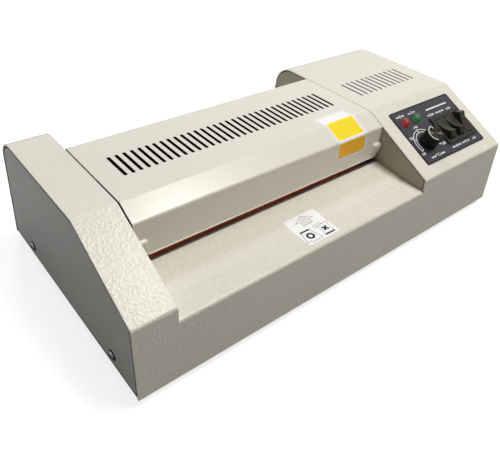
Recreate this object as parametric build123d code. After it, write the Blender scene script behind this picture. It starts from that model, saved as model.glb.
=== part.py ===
from build123d import *
import math
import os

# A desktop pouch laminator in folded sheet steel.
# Every piece is modelled from the casing's front bottom edge: X to the right from the middle,
# Y from the front wall to the back, Z up from the casing's bottom edge.
# Each piece is moved to the object's own frame, the middle of the footprint, as it is written.

# Casing
overall_width = 385.0
overall_depth = 212.0
case_rise = 47.3
sheet = 1.2
fold = 2.5
front_rise = 11.0
slope_run = 70.7
back_lean = 9.5
back_round = 22.0
left_housing = 31.2
right_housing = 112.8
shelf_height = 50.7
shelf_level = 22.0
shelf_depth = 54.0
shelf_rise = 3.8
exit_height = 47.0
exit_edge = 150.0
exit_step = 1.5
exit_level = 178.0
shelf_bend = 12.0
foot_height = 6.0
case_height = shelf_height + case_rise
front_height = shelf_height + front_rise

# Plates that close the casing
plate = 1.5
plate_gap = 1.0
plate_inset = 0.2
wall_sheet = 1.2
wall_inset = 0.2
pan_sheet = 1.2
pan_flange = 14.0
pan_gap = 0.3
pan_side_inset = 8.0
pan_side_rise = 4.0
frame_foot = 10.0
wall_foot = 6.0
bracket_foot = 6.0
motor_foot = 20.0

# Vents
cover_slots = 34
cover_slot_pitch = 6.09
cover_slot_start = 19.8
cover_slot_width = 2.7
slot_length = 28.6
slot_front = 96.4
slot_corner = 0.3
housing_slots = 12
housing_slot_pitch = 6.78
housing_slot_start = 18.6
housing_slot_width = 1.8
floor_slots = 7
floor_slot_pitch = 22.0
floor_slot_width = 5.0
floor_slot_length = 46.0
floor_slot_rows = (76.0, 152.0)

# Top cover
cover_front = 54.2
feed_gap = 5.7
cover_back = 155.0
cover_back_bottom = 66.0
cover_left_gap = 1.2
cover_right_gap = 0.5
cover_corner_x = 5.0
cover_corner_z = 4.0
cover_flange = 11.0
hinge_y = 148.0
hinge_z = 88.0
hinge_pin_diameter = 5.0
pin_collar = 8.0
pin_collar_width = 1.5
pin_stand_out = 1.0
cover_ear = 8.0
catch_width = 9.0
catch_height = 10.0
catch_depth = 3.0
catch_foot = 0.7
catch_rise = 3.8
catch_round = 1.4

# Rollers
nip_rise = 1.5
hot_y = 70.0
hot_spacing = 25.0
pull_y = 112.0
pull_spacing = 20.0
nip_gap = 0.3
sleeve_left = 3.8
sleeve_right = 15.2
rubber = 2.3
core_wall = 3.0
core_overhang = 1.5
core_end = 4.0
hot_journal = 12.0
hot_journal_bore = 8.4
pull_shaft = 8.0
pull_core = 14.0
running = 0.05

# Side frames and bearings
frame_sheet = 2.0
frame_offset = 8.0
frame_front = 46.0
frame_back = 134.0
frame_rise = 28.0
frame_corner = 6.0
hot_bush = 16.0
pull_bush = 12.0
bush_flange = 2.0
bush_rim = 2.0
hot_block = 18.0
pull_block = 14.0
block_play = 0.05
block_lip = 2.0
block_rise = 21.5
spring_sheet = 0.6
spring_width = 6.0
spring_inset = 1.2
spring_play = 0.2
bridge_sheet = 1.5
bridge_width = 12.0
tie_diameter = 8.0
tie_neck = 5.0
tie_rivet = 1.5
tie_inset = 8.0
tie_low = 16.0
tie_high = 36.0
shaft_hole = 16.0
clip_thickness = 0.8
clip_rim = 2.0

# Gear train
module = 1.25
pressure_angle = 20.0
tooth_clearance = 0.25
backlash = 0.20
gear_width = 8.0
gear_gap = 0.5
hot_teeth = 20
pull_teeth = 16
idler_teeth = 18
pinion_teeth = 16
pinion_bearing = -17.5
stud_diameter = 6.0
stud_neck = 5.0
stud_head = 9.0
stud_stand_out = 1.5
flank_steps = 2

# Gear motor
motor_diameter = 60.0
motor_length = 36.0
gearbox_diameter = 56.0
gearbox_length = 20.0
motor_shaft = 7.0
motor_plate = 2.0
motor_plate_gap = 3.0
motor_border = 3.0
motor_ear = 9.0
motor_ear_depth = 6.0
motor_shaft_play = 3.0
motor_bevel = 3.0

# Heating
heater_tube = 6.5
heater_cap = 10.0
heater_cap_length = 6.0
heater_reach = 8.0
heater_bracket_sheet = 1.2
heater_bracket_width = 16.0
heater_bracket_inset = 2.0
shield_radius = 14.4
shield_sheet = 0.6
sensor_width = 8.0
sensor_leaf = 2.0
sensor_bead = 1.4
sensor_inset = 30.0
cutout_diameter = 15.0
cutout_body = 2.8
cutout_ears = 24.0
cutout_ear_sheet = 0.8

# Guides
guide_sheet = 1.0
strip_gap = 1.1
strip_back = 59.8
strip_width = 11.8
strip_leg = 9.0
guide_end_gap = 0.3
guide_fold = 1.5
guide_clearance = 1.2
guide_offset = 1.4
guide_lip = 7.0
guide_ramp = 3.0
exit_guide_lip = 10.0

# Control panel, measured along the sloping face from its front fold
panel_left = 14.3
panel_width = 85.4
panel_low = 11.2
panel_length = 57.8
panel_sheet = 0.8
panel_corner = 1.8
knob_x = 32.4
knob_s = 30.8
knob_diameter = 16.6
knob_height = 13.0
knob_gap = 0.5
knob_taper = 0.2
knob_bevel = 0.4
knob_cap_diameter = 13.8
knob_cap_sheet = 0.6
pot_shaft = 6.0
pot_bush = 7.0
pot_diameter = 16.0
pot_depth = 10.0
pot_reach = 3.0
pot_recess = 3.5
pot_pins_width = 9.0
pot_pins_length = 6.0
pot_pins_sheet = 1.0
hole_play = 0.1
lamp_s = 55.6
red_lamp_x = 24.7
green_lamp_x = 40.1
lamp_diameter = 9.6
lamp_rim = 0.8
lamp_dome = 3.9
lamp_stem = 7.0
lamp_depth = 14.0
switch_count = 3
switch_x = 60.6
switch_pitch = 13.9
switch_s = 34.9
switch_width = 13.8
switch_length = 30.8
switch_rim = 1.8
switch_bevel = 0.5
switch_body_width = 12.0
switch_body_length = 28.0
switch_body_depth = 20.0
rocker_width = 7.2
rocker_end = 11.45
rocker_tilt = 21.0
rocker_pivot = 0.6
rocker_foot = 2.4
rocker_pin = 2.4
rocker_pin_reach = 0.8
rocker_lip = 4.0
rocker_middle = 2.15
rocker_play = 0.4
switch_well = 10.0
lug_width = 4.8
lug_sheet = 0.8
lug_length = 8.0
lug_pitch = 7.0

# Electrics
board_width = 74.0
board_length = 52.0
board_thickness = 1.6
board_height = 10.0
board_left = 30.0
board_front = 8.0
board_post = 5.0
board_post_inset = 4.0
transformer_place = (24.0, 33.0)
transformer_size = (32.0, 26.0, 24.0)
relay_place = (56.0, 38.0)
relay_size = (20.0, 16.0, 15.0)
terminals_place = (37.0, 7.0)
terminals_size = (50.0, 8.5, 9.0)
capacitor_place = (48.0, 19.0)
capacitor_pitch = 8.0
capacitor_size = (6.0, 12.0)
inlet_x = 70.0
inlet_height = 30.0
inlet_width = 27.2
inlet_tall = 19.8
inlet_flange_width = 48.0
inlet_flange_tall = 22.6
inlet_depth = 20.0
inlet_rim = 2.4
inlet_play = 0.3
inlet_wall = 2.0
inlet_well = 17.0
blade_length = 9.0
blade_pitch = 7.0
blade_offset = 2.0
blade_width = 2.0
blade_tall = 4.0

# Feet and screws
foot_top_diameter = 20.0
foot_inset = 24.0
foot_taper = 9.0
foot_stem = 4.5
foot_stem_play = 0.1
foot_barb = 7.5
foot_barb_tip = 3.6
foot_barb_height = 4.0
screw_head = 7.0
screw_head_height = 1.9
screw_head_top = 4.2
screw_shank = 3.5
screw_length = 6.0
screw_play = 0.15
end_screw_front = 33.3
end_screw_back = 169.4
end_screw_height = 11.0

# Edges and positions that follow from the sizes above
left_edge = -overall_width / 2
right_edge = overall_width / 2
recess_left = left_edge + left_housing
recess_right = right_edge - right_housing
slope_length = math.hypot(slope_run, case_height - front_height)
shelf_edge = shelf_height + shelf_rise
exit_edge_height = shelf_edge - exit_step
cover_front_bottom = shelf_edge + feed_gap
catch_bottom = cover_front_bottom + catch_rise
strip_top = shelf_edge - sheet - strip_gap
nip_height = shelf_edge + nip_rise
frame_top = nip_height + frame_rise
block_top = nip_height + block_rise
lean = math.radians(back_lean)
cover_left = recess_left + cover_left_gap
cover_right = recess_right - cover_right_gap
left_wall_face = recess_left - wall_inset
right_wall_face = recess_right + wall_inset
left_frame_face = recess_left - frame_offset
right_frame_face = recess_right + frame_offset
frame_left_outside = left_frame_face - frame_sheet
frame_right_outside = right_frame_face + frame_sheet
hot_low = (hot_y, nip_height - hot_spacing / 2)
hot_high = (hot_y, nip_height + hot_spacing / 2)
pull_low = (pull_y, nip_height - pull_spacing / 2)
pull_high = (pull_y, nip_height + pull_spacing / 2)
hot_radius = (hot_spacing - nip_gap) / 2
pull_radius = (pull_spacing - nip_gap) / 2
hot_core = 2 * (hot_radius - rubber)
sleeve_start = recess_left + sleeve_left
sleeve_end = recess_right - sleeve_right
gear_start = frame_right_outside + bush_flange + gear_gap
gear_end = gear_start + gear_width
screw_hole = screw_shank + 2 * screw_play
slope_plane = Plane(
    origin=(0, 0, front_height),
    x_dir=(1, 0, 0),
    z_dir=(0, front_height - case_height, slope_run),
)


def back_y(height, inside=0.0):
    """Where the leaning back wall is at a height, or a depth inside it."""
    return overall_depth - height * math.tan(lean) - inside / math.cos(lean)


def slope_z(y, inside=0.0):
    """Height of the sloping face above a depth, or a depth inside it."""
    rise = (case_height - front_height) / slope_run
    return front_height + y * rise - inside * slope_length / slope_run


def vent(length, width):
    """The outline of a punched slot along Y, its corners cut by a share of its width."""
    outline = Rectangle(width, length)
    return chamfer(outline.vertices(), slot_corner * width)


def block(x, y, z):
    """A box between pairs of coordinates."""
    size = (x[1] - x[0], y[1] - y[0], z[1] - z[0])
    centre = (sum(x) / 2, sum(y) / 2, sum(z) / 2)
    return Pos(*centre) * Box(*size)


def rod(centre, diameter, x_start, x_end):
    """A cylinder along X, centred on a point (y, z)."""
    disc = Pos(*centre) * Circle(diameter / 2)
    return extrude(Plane.YZ.offset(x_start) * disc, x_end - x_start)


def slab(outline, x_start, x_end):
    """A face drawn in (y, z), made solid between two x positions."""
    return extrude(Plane.YZ.offset(x_start) * outline, x_end - x_start)


def folded(points, radii, x_start, x_end, thickness=sheet):
    """Sheet folded along points (y, z), its thickness to the right of the path."""
    path = FilletPolyline(*points, radius=radii)
    return slab(make_face(offset(path, amount=thickness, side=Side.RIGHT)), x_start, x_end)


def on_slope(shape, x, s, height=0.0):
    """A shape set on the sloping face, x from the right housing's inner edge."""
    return slope_plane * (Pos(recess_right + x, s, height) * shape)


def housing_outline(inside):
    """The inside of a housing, drawn a depth inside its folded sheet."""
    top = case_height - inside
    slope_end = (top - slope_z(0, inside)) * slope_run / (case_height - front_height)
    corners = [
        (inside, inside),
        (inside, slope_z(inside, inside)),
        (slope_end, top),
        (back_y(top, inside), top),
        (back_y(inside, inside), inside),
    ]
    face = make_face(Polyline(*corners, close=True))
    back_top = face.vertices().group_by(Axis.Y)[-1].sort_by(Axis.X)[-1]
    return fillet(back_top, back_round - inside)


# Casing, plates and cover

def make_outer_casing():
    foot_of_back = sheet * math.sin(lean)
    back_foot = (back_y(foot_of_back), foot_of_back)
    housing = [
        (0, 0),
        (0, front_height),
        (slope_run, case_height),
        (back_y(case_height), case_height),
        back_foot,
    ]
    shelf = [
        (0, 0),
        (0, shelf_height),
        (shelf_level, shelf_height),
        (shelf_depth, shelf_edge),
    ]
    rear = [
        (exit_edge, exit_edge_height),
        (exit_level, exit_height),
        (back_y(exit_height), exit_height),
        back_foot,
    ]
    rounds = [fold, fold, back_round]
    casing = folded(housing, rounds, left_edge, recess_left)
    casing += folded(housing, rounds, recess_right, right_edge)
    casing += folded(shelf, [fold, shelf_bend], recess_left, recess_right)
    casing += folded(rear, [shelf_bend, fold], recess_left, recess_right)
    for i in range(housing_slots):
        x = recess_right + housing_slot_start + i * housing_slot_pitch
        centre = (x, slot_front + slot_length / 2, case_height)
        casing -= extrude(Pos(*centre) * vent(slot_length, housing_slot_width), -2 * sheet)
    casing -= panel_holes(-3 * sheet, 3 * sheet)
    cut = (inlet_width + 2 * inlet_play, inlet_tall + 2 * inlet_play)
    casing -= extrude(back_plane().offset(-2 * sheet) * Rectangle(*cut), 4 * sheet)
    return casing


def panel_holes(low, high):
    """What is cut through the sloping face for the knob, lamps and switches."""
    cut = on_slope(extrude(Circle(pot_bush / 2 + hole_play), high - low), knob_x, knob_s, low)
    for x in (red_lamp_x, green_lamp_x):
        cut += on_slope(extrude(Circle(lamp_stem / 2 + hole_play), high - low), x, lamp_s, low)
    window = Rectangle(switch_body_width + 2 * hole_play, switch_body_length + 2 * hole_play)
    for i in range(switch_count):
        x = switch_x + i * switch_pitch
        cut += on_slope(extrude(window, high - low), x, switch_s, low)
    return cut


def back_plane():
    """The back wall's outside at the power inlet, facing out."""
    origin = (recess_right + inlet_x, back_y(inlet_height), inlet_height)
    return Plane(origin=origin, x_dir=(-1, 0, 0), z_dir=(0, math.cos(lean), math.sin(lean)))


def make_end_plate(side):
    outline = housing_outline(sheet + plate_gap)
    outside = side * (overall_width / 2 - plate_inset)
    plate_solid = slab(outline, outside, outside - side * plate)
    start, end = sorted((outside - side * 2 * plate, outside + side * plate))
    for y in (end_screw_front, end_screw_back):
        plate_solid -= rod((y, end_screw_height), screw_hole, start, end)
    return plate_solid


def make_inner_wall(side):
    face = right_wall_face if side > 0 else left_wall_face
    outline = housing_outline(sheet + plate_gap)
    wall = slab(outline, face, face + side * wall_sheet)
    foot = sorted((face, face + side * wall_foot))
    wall += block(foot, (frame_front, frame_back), (pan_sheet, pan_sheet + wall_sheet))
    start, end = sorted((face - side, face + side * 3))
    notch = sheet + 3 * pan_gap + pan_sheet
    wall -= block((start, end), (0, notch), (0, pan_flange + pan_gap))
    rear_notch = [
        (back_y(0, notch), 0),
        (overall_depth, 0),
        (overall_depth, pan_flange + pan_gap),
        (back_y(pan_flange, notch), pan_flange + pan_gap),
    ]
    wall -= slab(make_face(Polyline(*rear_notch, close=True)), start, end)
    for axis in (hot_low, hot_high, pull_low, pull_high):
        wall -= rod(axis, shaft_hole, start, end)
    wall -= rod((hinge_y, hinge_z), hinge_pin_diameter + 2 * running, start, end)
    for y, z in tie_places():
        wall -= rod((y, z), tie_diameter + 1, start, end)
    return wall


def make_base_pan():
    inside = sheet + pan_gap
    outside = overall_width / 2 - plate_inset - plate
    back = back_y(pan_sheet, inside)
    pan = block((-outside, outside), (inside, back), (0, pan_sheet))
    pan += block((-outside, outside), (inside, inside + pan_sheet), (0, pan_flange))
    lip = [(back, 0), (back_y(pan_flange, inside), pan_flange)]
    lip += [(y - pan_sheet, z) for y, z in reversed(lip)]
    pan += slab(make_face(Polyline(*lip, close=True)), -outside, outside)
    for side in (-1, 1):
        x = sorted((side * outside, side * (outside - pan_sheet)))
        y = (inside + pan_side_inset, back - pan_side_inset)
        pan += block(x, y, (0, pan_flange + pan_side_rise))
        for screw_y in (end_screw_front, end_screw_back):
            pan -= rod((screw_y, end_screw_height), screw_hole, x[0] - 1, x[1] + 1)
    slot = vent(floor_slot_length, floor_slot_width)
    for row in floor_slot_rows:
        for i in range(floor_slots):
            x = (i - (floor_slots - 1) / 2) * floor_slot_pitch + (recess_left + recess_right) / 2
            pan -= extrude(Pos(x, row, 0) * slot, pan_sheet)
    for x, y in foot_places():
        pan -= Pos(x, y, 0) * Cylinder(foot_stem / 2 + foot_stem_play, 4 * pan_sheet)
    return pan


def foot_places():
    x = overall_width / 2 - foot_inset
    back = overall_depth - foot_inset
    return [(-x, foot_inset), (x, foot_inset), (-x, back), (x, back)]


def make_rubber_feet():
    """Push-in feet: a tapered pad, a stem through the pan and a barb over it."""
    foot = extrude(Circle(foot_top_diameter / 2), -foot_height, taper=foot_taper)
    over_pan = pan_sheet + foot_stem_play
    foot += extrude(Circle(foot_stem / 2), over_pan)
    upright = (Align.CENTER, Align.CENTER, Align.MIN)
    barb = Cone(foot_barb / 2, foot_barb_tip / 2, foot_barb_height, align=upright)
    foot += Pos(0, 0, over_pan) * barb
    return [Pos(x, y, 0) * foot for x, y in foot_places()]


def screw():
    """A pan-head screw, its head's underside at the origin and its head up."""
    upright = (Align.CENTER, Align.CENTER, Align.MIN)
    head = Cone(screw_head / 2, screw_head_top / 2, screw_head_height, align=upright)
    return head + Pos(0, 0, -screw_length / 2) * Cylinder(screw_shank / 2, screw_length)


def make_casing_screws():
    screws = []
    for side in (-1, 1):
        x = side * (overall_width / 2 - plate_inset)
        for y in (end_screw_front, end_screw_back):
            screws.append(Pos(x, y, end_screw_height) * Rot(0, side * 90, 0) * screw())
    return screws


def make_top_cover():
    facet_top = slope_z(cover_front)
    path = [
        (cover_front, cover_front_bottom),
        (cover_front, facet_top),
        (slope_run, case_height),
        (cover_back, case_height),
        (cover_back, cover_back_bottom),
    ]
    cover = folded(path, [fold, fold, fold], cover_left, cover_right)
    flange = [
        (cover_front + sheet, facet_top - cover_flange),
        (cover_front + sheet, facet_top - sheet),
        (slope_run, case_height - sheet),
        (cover_back - sheet, case_height - sheet),
        (cover_back - sheet, hinge_z - hinge_pin_diameter),
        (hinge_y - hinge_pin_diameter, hinge_z - hinge_pin_diameter),
        (hinge_y - hinge_pin_diameter - cover_ear, case_height - cover_flange),
        (slope_run, case_height - cover_flange),
    ]
    flange_face = make_face(Polyline(*flange, close=True))
    cover += slab(flange_face, cover_left, cover_left + sheet)
    cover += slab(flange_face, cover_right - sheet, cover_right)
    for i in range(cover_slots):
        x = recess_left + cover_slot_start + i * cover_slot_pitch
        centre = (x, slot_front + slot_length / 2, case_height)
        cover -= extrude(Pos(*centre) * vent(slot_length, cover_slot_width), -2 * sheet)
    for x, turn in ((cover_left, 1), (cover_right, -1)):
        corner = [
            (x, cover_front_bottom),
            (x + turn * cover_corner_x, cover_front_bottom),
            (x, cover_front_bottom + cover_corner_z),
        ]
        triangle = Plane.XZ * make_face(Polyline(*corner, close=True))
        cover -= extrude(Pos(0, cover_front + 3, 0) * triangle, 6)
    pin_hole = rod((hinge_y, hinge_z), hinge_pin_diameter, cover_left - 1, cover_right + 1)
    return cover - pin_hole


def make_cover_catch(side):
    """A rounded cap on the cover's lower front corner, thicker towards its top."""
    edge = cover_right if side > 0 else cover_left
    top = catch_bottom + catch_height
    profile = [
        (cover_front, catch_bottom),
        (cover_front - catch_foot, catch_bottom),
        (cover_front - catch_depth, top),
        (cover_front, top),
    ]
    span = sorted((edge, edge - side * catch_width))
    cap = slab(make_face(Polyline(*profile, close=True)), *span)
    behind = cap.faces().sort_by(Axis.Y)[-1].edges()
    under = cap.faces().sort_by(Axis.Z)[0].edges()
    return fillet(cap.edges() - behind - under, catch_round)


def make_cover_hinge_pins():
    axis = (hinge_y, hinge_z)
    left_flange = cover_left + sheet
    right_flange = cover_right - sheet
    left_end = left_wall_face - wall_sheet - pin_stand_out
    right_end = right_wall_face + wall_sheet + pin_stand_out
    left = rod(axis, hinge_pin_diameter, left_end, left_flange)
    right = rod(axis, hinge_pin_diameter, right_flange, right_end)
    left += rod(axis, pin_collar, left_flange, left_flange + pin_collar_width)
    right += rod(axis, pin_collar, right_flange - pin_collar_width, right_flange)
    return [left, right]


# Guides

def guide_span():
    return left_wall_face + guide_end_gap, right_wall_face - guide_end_gap


def make_infeed_guide_strip():
    front = strip_back - strip_width
    path = [
        (front, strip_top - strip_leg),
        (front, strip_top),
        (strip_back, strip_top),
    ]
    return folded(path, guide_fold, *guide_span(), guide_sheet)


def make_middle_guide(up):
    """A folded plate between the two pairs of rollers, its lips turned up or down."""
    front = hot_y + hot_radius + guide_clearance
    back = pull_y - pull_radius - guide_clearance
    face = nip_height + up * guide_offset
    path = [
        (front, face + up * guide_lip),
        (front + guide_ramp, face),
        (back - guide_ramp, face),
        (back, face + up * guide_lip),
    ]
    if up > 0:
        path.reverse()
    return folded(path, guide_fold, *guide_span(), guide_sheet)


def make_exit_guide():
    front = pull_y + pull_radius + guide_clearance
    back = exit_edge - guide_sheet
    top = nip_height - guide_offset
    path = [
        (front, top - exit_guide_lip),
        (front + guide_ramp, top),
        (back, top),
        (back, top - exit_guide_lip),
    ]
    return folded(path, guide_fold, *guide_span(), guide_sheet)


# Side frames and bearings

def tie_places():
    front = frame_front + tie_inset
    back = frame_back - tie_inset
    return [(front, tie_low), (back, tie_low), (back, tie_high)]


def make_side_frame(side):
    face = right_frame_face if side > 0 else left_frame_face
    outside = face + side * frame_sheet
    corners = [
        (frame_front, pan_sheet),
        (frame_front, frame_top - frame_corner),
        (frame_front + frame_corner, frame_top),
        (frame_back - frame_corner, frame_top),
        (frame_back, frame_top - frame_corner),
        (frame_back, pan_sheet),
    ]
    frame = slab(make_face(Polyline(*corners, close=True)), face, outside)
    foot = sorted((face, face + side * frame_foot))
    frame += block(foot, (frame_front, frame_back), (pan_sheet, pan_sheet + frame_sheet))
    start, end = sorted((face - side, outside + side))
    frame -= rod(hot_low, hot_bush, start, end)
    frame -= rod(pull_low, pull_bush, start, end)
    for (y, z), width in ((hot_high, hot_block), (pull_high, pull_block)):
        half = width / 2 + block_play
        frame -= block((start, end), (y - half, y + half), (z - half, frame_top + 1))
    for y, z in tie_places():
        frame -= rod((y, z), tie_neck, start, end)
    if side > 0:
        frame -= rod(idler_axis(), stud_neck, start, end)
    return frame


def make_frame_tie_rods():
    rods = []
    for place in tie_places():
        left_end = frame_left_outside - tie_rivet
        right_end = frame_right_outside + tie_rivet
        bar = rod(place, tie_diameter, left_frame_face, right_frame_face)
        bar += rod(place, tie_neck, left_end, right_end)
        rods.append(bar)
    return rods


def bush_span(side):
    """Both ends of a bush, which stands a flange proud of each side of its frame."""
    if side > 0:
        return right_frame_face - bush_flange, frame_right_outside + bush_flange
    return frame_left_outside - bush_flange, left_frame_face + bush_flange


def make_lower_roller_bushes():
    bushes = []
    for side in (-1, 1):
        start, end = bush_span(side)
        inner = (start, start + bush_flange) if side > 0 else (end - bush_flange, end)
        for axis, outer, bore in (
            (hot_low, hot_bush, hot_journal),
            (pull_low, pull_bush, pull_shaft),
        ):
            bush = rod(axis, outer, start, end)
            bush += rod(axis, outer + 2 * bush_rim, *inner)
            bushes.append(bush - rod(axis, bore + 2 * running, start, end))
    return bushes


def make_upper_bearing_blocks():
    blocks = []
    for side in (-1, 1):
        start, end = bush_span(side)
        for (y, z), width, bore in (
            (hot_high, hot_block, hot_journal),
            (pull_high, pull_block, pull_shaft),
        ):
            half = width / 2
            height = (z - half, block_top)
            body = block((start, end), (y - half, y + half), height)
            inner = (start, right_frame_face) if side > 0 else (left_frame_face, end)
            body += block(inner, (y - half - block_lip, y + half + block_lip), height)
            blocks.append(body - rod((y, z), bore + 2 * running, start, end))
    return blocks


def make_pressure_springs():
    """Bowed leaf springs between the sliding blocks and the bridges over them."""
    low = block_top + spring_play
    high = frame_top - spring_play - spring_sheet
    springs = []
    for side in (-1, 1):
        middle = sum(bush_span(side)) / 2
        for y, width in ((hot_y, hot_block), (pull_y, pull_block)):
            reach = width / 2 - spring_inset
            ends = [(y - reach, low), (y + reach, low)]
            bow = ThreePointArc(ends[0], (y, high), ends[1])
            strip = make_face(offset(bow, amount=spring_sheet, side=Side.LEFT))
            springs.append(slab(strip, middle - spring_width / 2, middle + spring_width / 2))
    return springs


def make_spring_bridges():
    bridges = []
    for side in (-1, 1):
        centre = sum(bush_span(side)) / 2
        x = (centre - bridge_width / 2, centre + bridge_width / 2)
        y = (frame_front + frame_corner, frame_back - frame_corner)
        bridges.append(block(x, y, (frame_top, frame_top + bridge_sheet)))
    return bridges


# Rollers and gears

def roller_core_span():
    return sleeve_start - core_overhang, sleeve_end + core_overhang


def journal_ends():
    left = frame_left_outside - bush_flange - gear_gap - 2 * clip_thickness
    right = gear_end + 3 * clip_thickness
    return left, right


def retaining_rings(axis, journal):
    """Rings on a journal, outside the left bush and outside the gear."""
    left = frame_left_outside - bush_flange - gear_gap
    rings = []
    for x in (left - clip_thickness, gear_end):
        ring = rod(axis, journal + 2 * clip_rim, x, x + clip_thickness)
        rings.append(ring - rod(axis, journal, x, x + clip_thickness))
    return rings


def make_hot_core(axis):
    start, end = roller_core_span()
    left, right = journal_ends()
    core = rod(axis, hot_core, start, end)
    core += rod(axis, hot_journal, left, right)
    core -= rod(axis, hot_core - 2 * core_wall, start + core_end, end - core_end)
    core -= rod(axis, hot_journal_bore, left, right)
    return [core, *retaining_rings(axis, hot_journal)]


def make_pull_shaft(axis):
    start, end = roller_core_span()
    left, right = journal_ends()
    shaft = rod(axis, pull_core, start, end) + rod(axis, pull_shaft, left, right)
    return [shaft, *retaining_rings(axis, pull_shaft)]


def make_sleeve(axis, radius, bore):
    return rod(axis, 2 * radius, sleeve_start, sleeve_end) - rod(axis, bore, sleeve_start, sleeve_end)


def pitch_radius(teeth):
    return module * teeth / 2


def involute(angle):
    return math.tan(angle) - angle


def gear_face(teeth):
    """A spur gear's outline with one tooth on the local X axis."""
    pitch = pitch_radius(teeth)
    base = pitch * math.cos(math.radians(pressure_angle))
    tip = pitch + module * (1 - tooth_clearance / 2)
    root = pitch - module * (1 + tooth_clearance)
    low = max(base, root)
    half = (math.pi * module / 2 - backlash) / 2 / pitch + involute(math.radians(pressure_angle))
    points = []
    for i in range(teeth):
        centre = 2 * math.pi * i / teeth
        flank = []
        for step in range(flank_steps + 1):
            radius = low + (tip - low) * step / flank_steps
            flank.append((radius, half - involute(math.acos(base / radius))))
        if root < low:
            flank.insert(0, (root, flank[0][1]))
        for sign, side in ((-1, flank), (1, list(reversed(flank)))):
            for radius, angle in side:
                turn = centre + sign * angle
                points.append((radius * math.cos(turn), radius * math.sin(turn)))
    return make_face(Polyline(*points, close=True))


def gear_solid(centre, teeth, phase, bore):
    """A gear turned by a phase in degrees."""
    outline = Pos(*centre) * Rot(0, 0, phase) * gear_face(teeth)
    return slab(outline, gear_start, gear_end) - rod(centre, bore, gear_start, gear_end)


def direction(start, end):
    return math.atan2(end[1] - start[1], end[0] - start[0])


def mesh_phase(centre, teeth, phase, other, other_teeth):
    """The phase of a second gear that puts its gap on the first one's tooth."""
    angle = direction(centre, other)
    shift = pitch_radius(teeth) * (math.radians(phase) - angle) + math.pi * module / 2
    return math.degrees(angle + math.pi - shift / pitch_radius(other_teeth))


def idler_axis():
    """Below the line between the two lower gears, in mesh with both."""
    first = pitch_radius(hot_teeth) + pitch_radius(idler_teeth)
    second = pitch_radius(pull_teeth) + pitch_radius(idler_teeth)
    span = math.dist(hot_low, pull_low)
    along = (first ** 2 - second ** 2 + span ** 2) / (2 * span)
    drop = math.sqrt(first ** 2 - along ** 2)
    angle = direction(hot_low, pull_low)
    y = hot_low[0] + along * math.cos(angle) + drop * math.sin(angle)
    z = hot_low[1] + along * math.sin(angle) - drop * math.cos(angle)
    return y, z


def pinion_axis():
    reach = pitch_radius(pull_teeth) + pitch_radius(pinion_teeth)
    angle = math.radians(pinion_bearing)
    return pull_low[0] + reach * math.cos(angle), pull_low[1] + reach * math.sin(angle)


hot_phase = 0.0
hot_high_phase = mesh_phase(hot_low, hot_teeth, hot_phase, hot_high, hot_teeth)
idler_phase = mesh_phase(hot_low, hot_teeth, hot_phase, idler_axis(), idler_teeth)
pull_phase = mesh_phase(idler_axis(), idler_teeth, idler_phase, pull_low, pull_teeth)
pull_high_phase = mesh_phase(pull_low, pull_teeth, pull_phase, pull_high, pull_teeth)
pinion_phase = mesh_phase(pull_low, pull_teeth, pull_phase, pinion_axis(), pinion_teeth)


def make_idler_stud():
    axis = idler_axis()
    outer = gear_end + gear_gap
    stud = rod(axis, stud_diameter, frame_right_outside, outer)
    stud += rod(axis, stud_neck, right_frame_face - stud_stand_out, frame_right_outside)
    stud += rod(axis, stud_head, frame_right_outside, gear_start - gear_gap / 2)
    return stud + rod(axis, stud_head, outer, outer + clip_thickness)


def motor_face():
    return gear_end + motor_plate_gap + motor_plate


def make_motor_pinion():
    pinion = gear_solid(pinion_axis(), pinion_teeth, pinion_phase, motor_shaft)
    return pinion + rod(pinion_axis(), motor_shaft, gear_start, motor_face() - gear_gap)


def make_gear_motor():
    start = motor_face()
    middle = start + gearbox_length
    axis = pinion_axis()
    can = rod(axis, motor_diameter, middle, middle + motor_length)
    can = chamfer(can.edges().group_by(Axis.X)[-1], motor_bevel)
    motor = rod(axis, gearbox_diameter, start, middle) + can
    reach = gearbox_diameter / 2
    for i in range(4):
        angle = math.radians(45 + 90 * i)
        ear = (axis[0] + reach * math.cos(angle), axis[1] + reach * math.sin(angle))
        motor += rod(ear, motor_ear, start, start + motor_ear_depth)
    return motor


def make_motor_bracket():
    start = gear_end + motor_plate_gap
    y, z = pinion_axis()
    half = gearbox_diameter / 2 + motor_border
    upright = block((start, start + motor_plate), (y - half, y + half), (pan_sheet, z + half))
    foot = (start + motor_plate, start + motor_foot)
    upright += block(foot, (y - half, y + half), (pan_sheet, pan_sheet + motor_plate))
    return upright - rod((y, z), motor_shaft + 2 * motor_shaft_play, start, start + motor_plate)


# Heating

def make_heater_tubes():
    left, right = heater_ends()
    tubes = []
    for axis in (hot_low, hot_high):
        tube = rod(axis, heater_tube, left, right)
        tube += rod(axis, heater_cap, left, left + heater_cap_length)
        tube += rod(axis, heater_cap, right - heater_cap_length, right)
        tubes.append(tube)
    return tubes


def heater_ends():
    left, right = journal_ends()
    return left - heater_reach, right + heater_reach


def make_heater_brackets():
    left, right = heater_ends()
    brackets = []
    half = heater_bracket_width / 2
    y = (hot_y - half, hot_y + half)
    for x, turn in ((left + heater_bracket_inset, -1), (right - heater_bracket_inset, 1)):
        span = sorted((x, x - turn * heater_bracket_sheet))
        bracket = block(span, y, (pan_sheet, hot_high[1] + half))
        foot = sorted((x, x + turn * bracket_foot))
        bracket += block(foot, y, (pan_sheet, pan_sheet + heater_bracket_sheet))
        for axis in (hot_low, hot_high):
            bracket -= rod(axis, heater_cap, *span)
        brackets.append(bracket)
    return brackets


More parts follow.
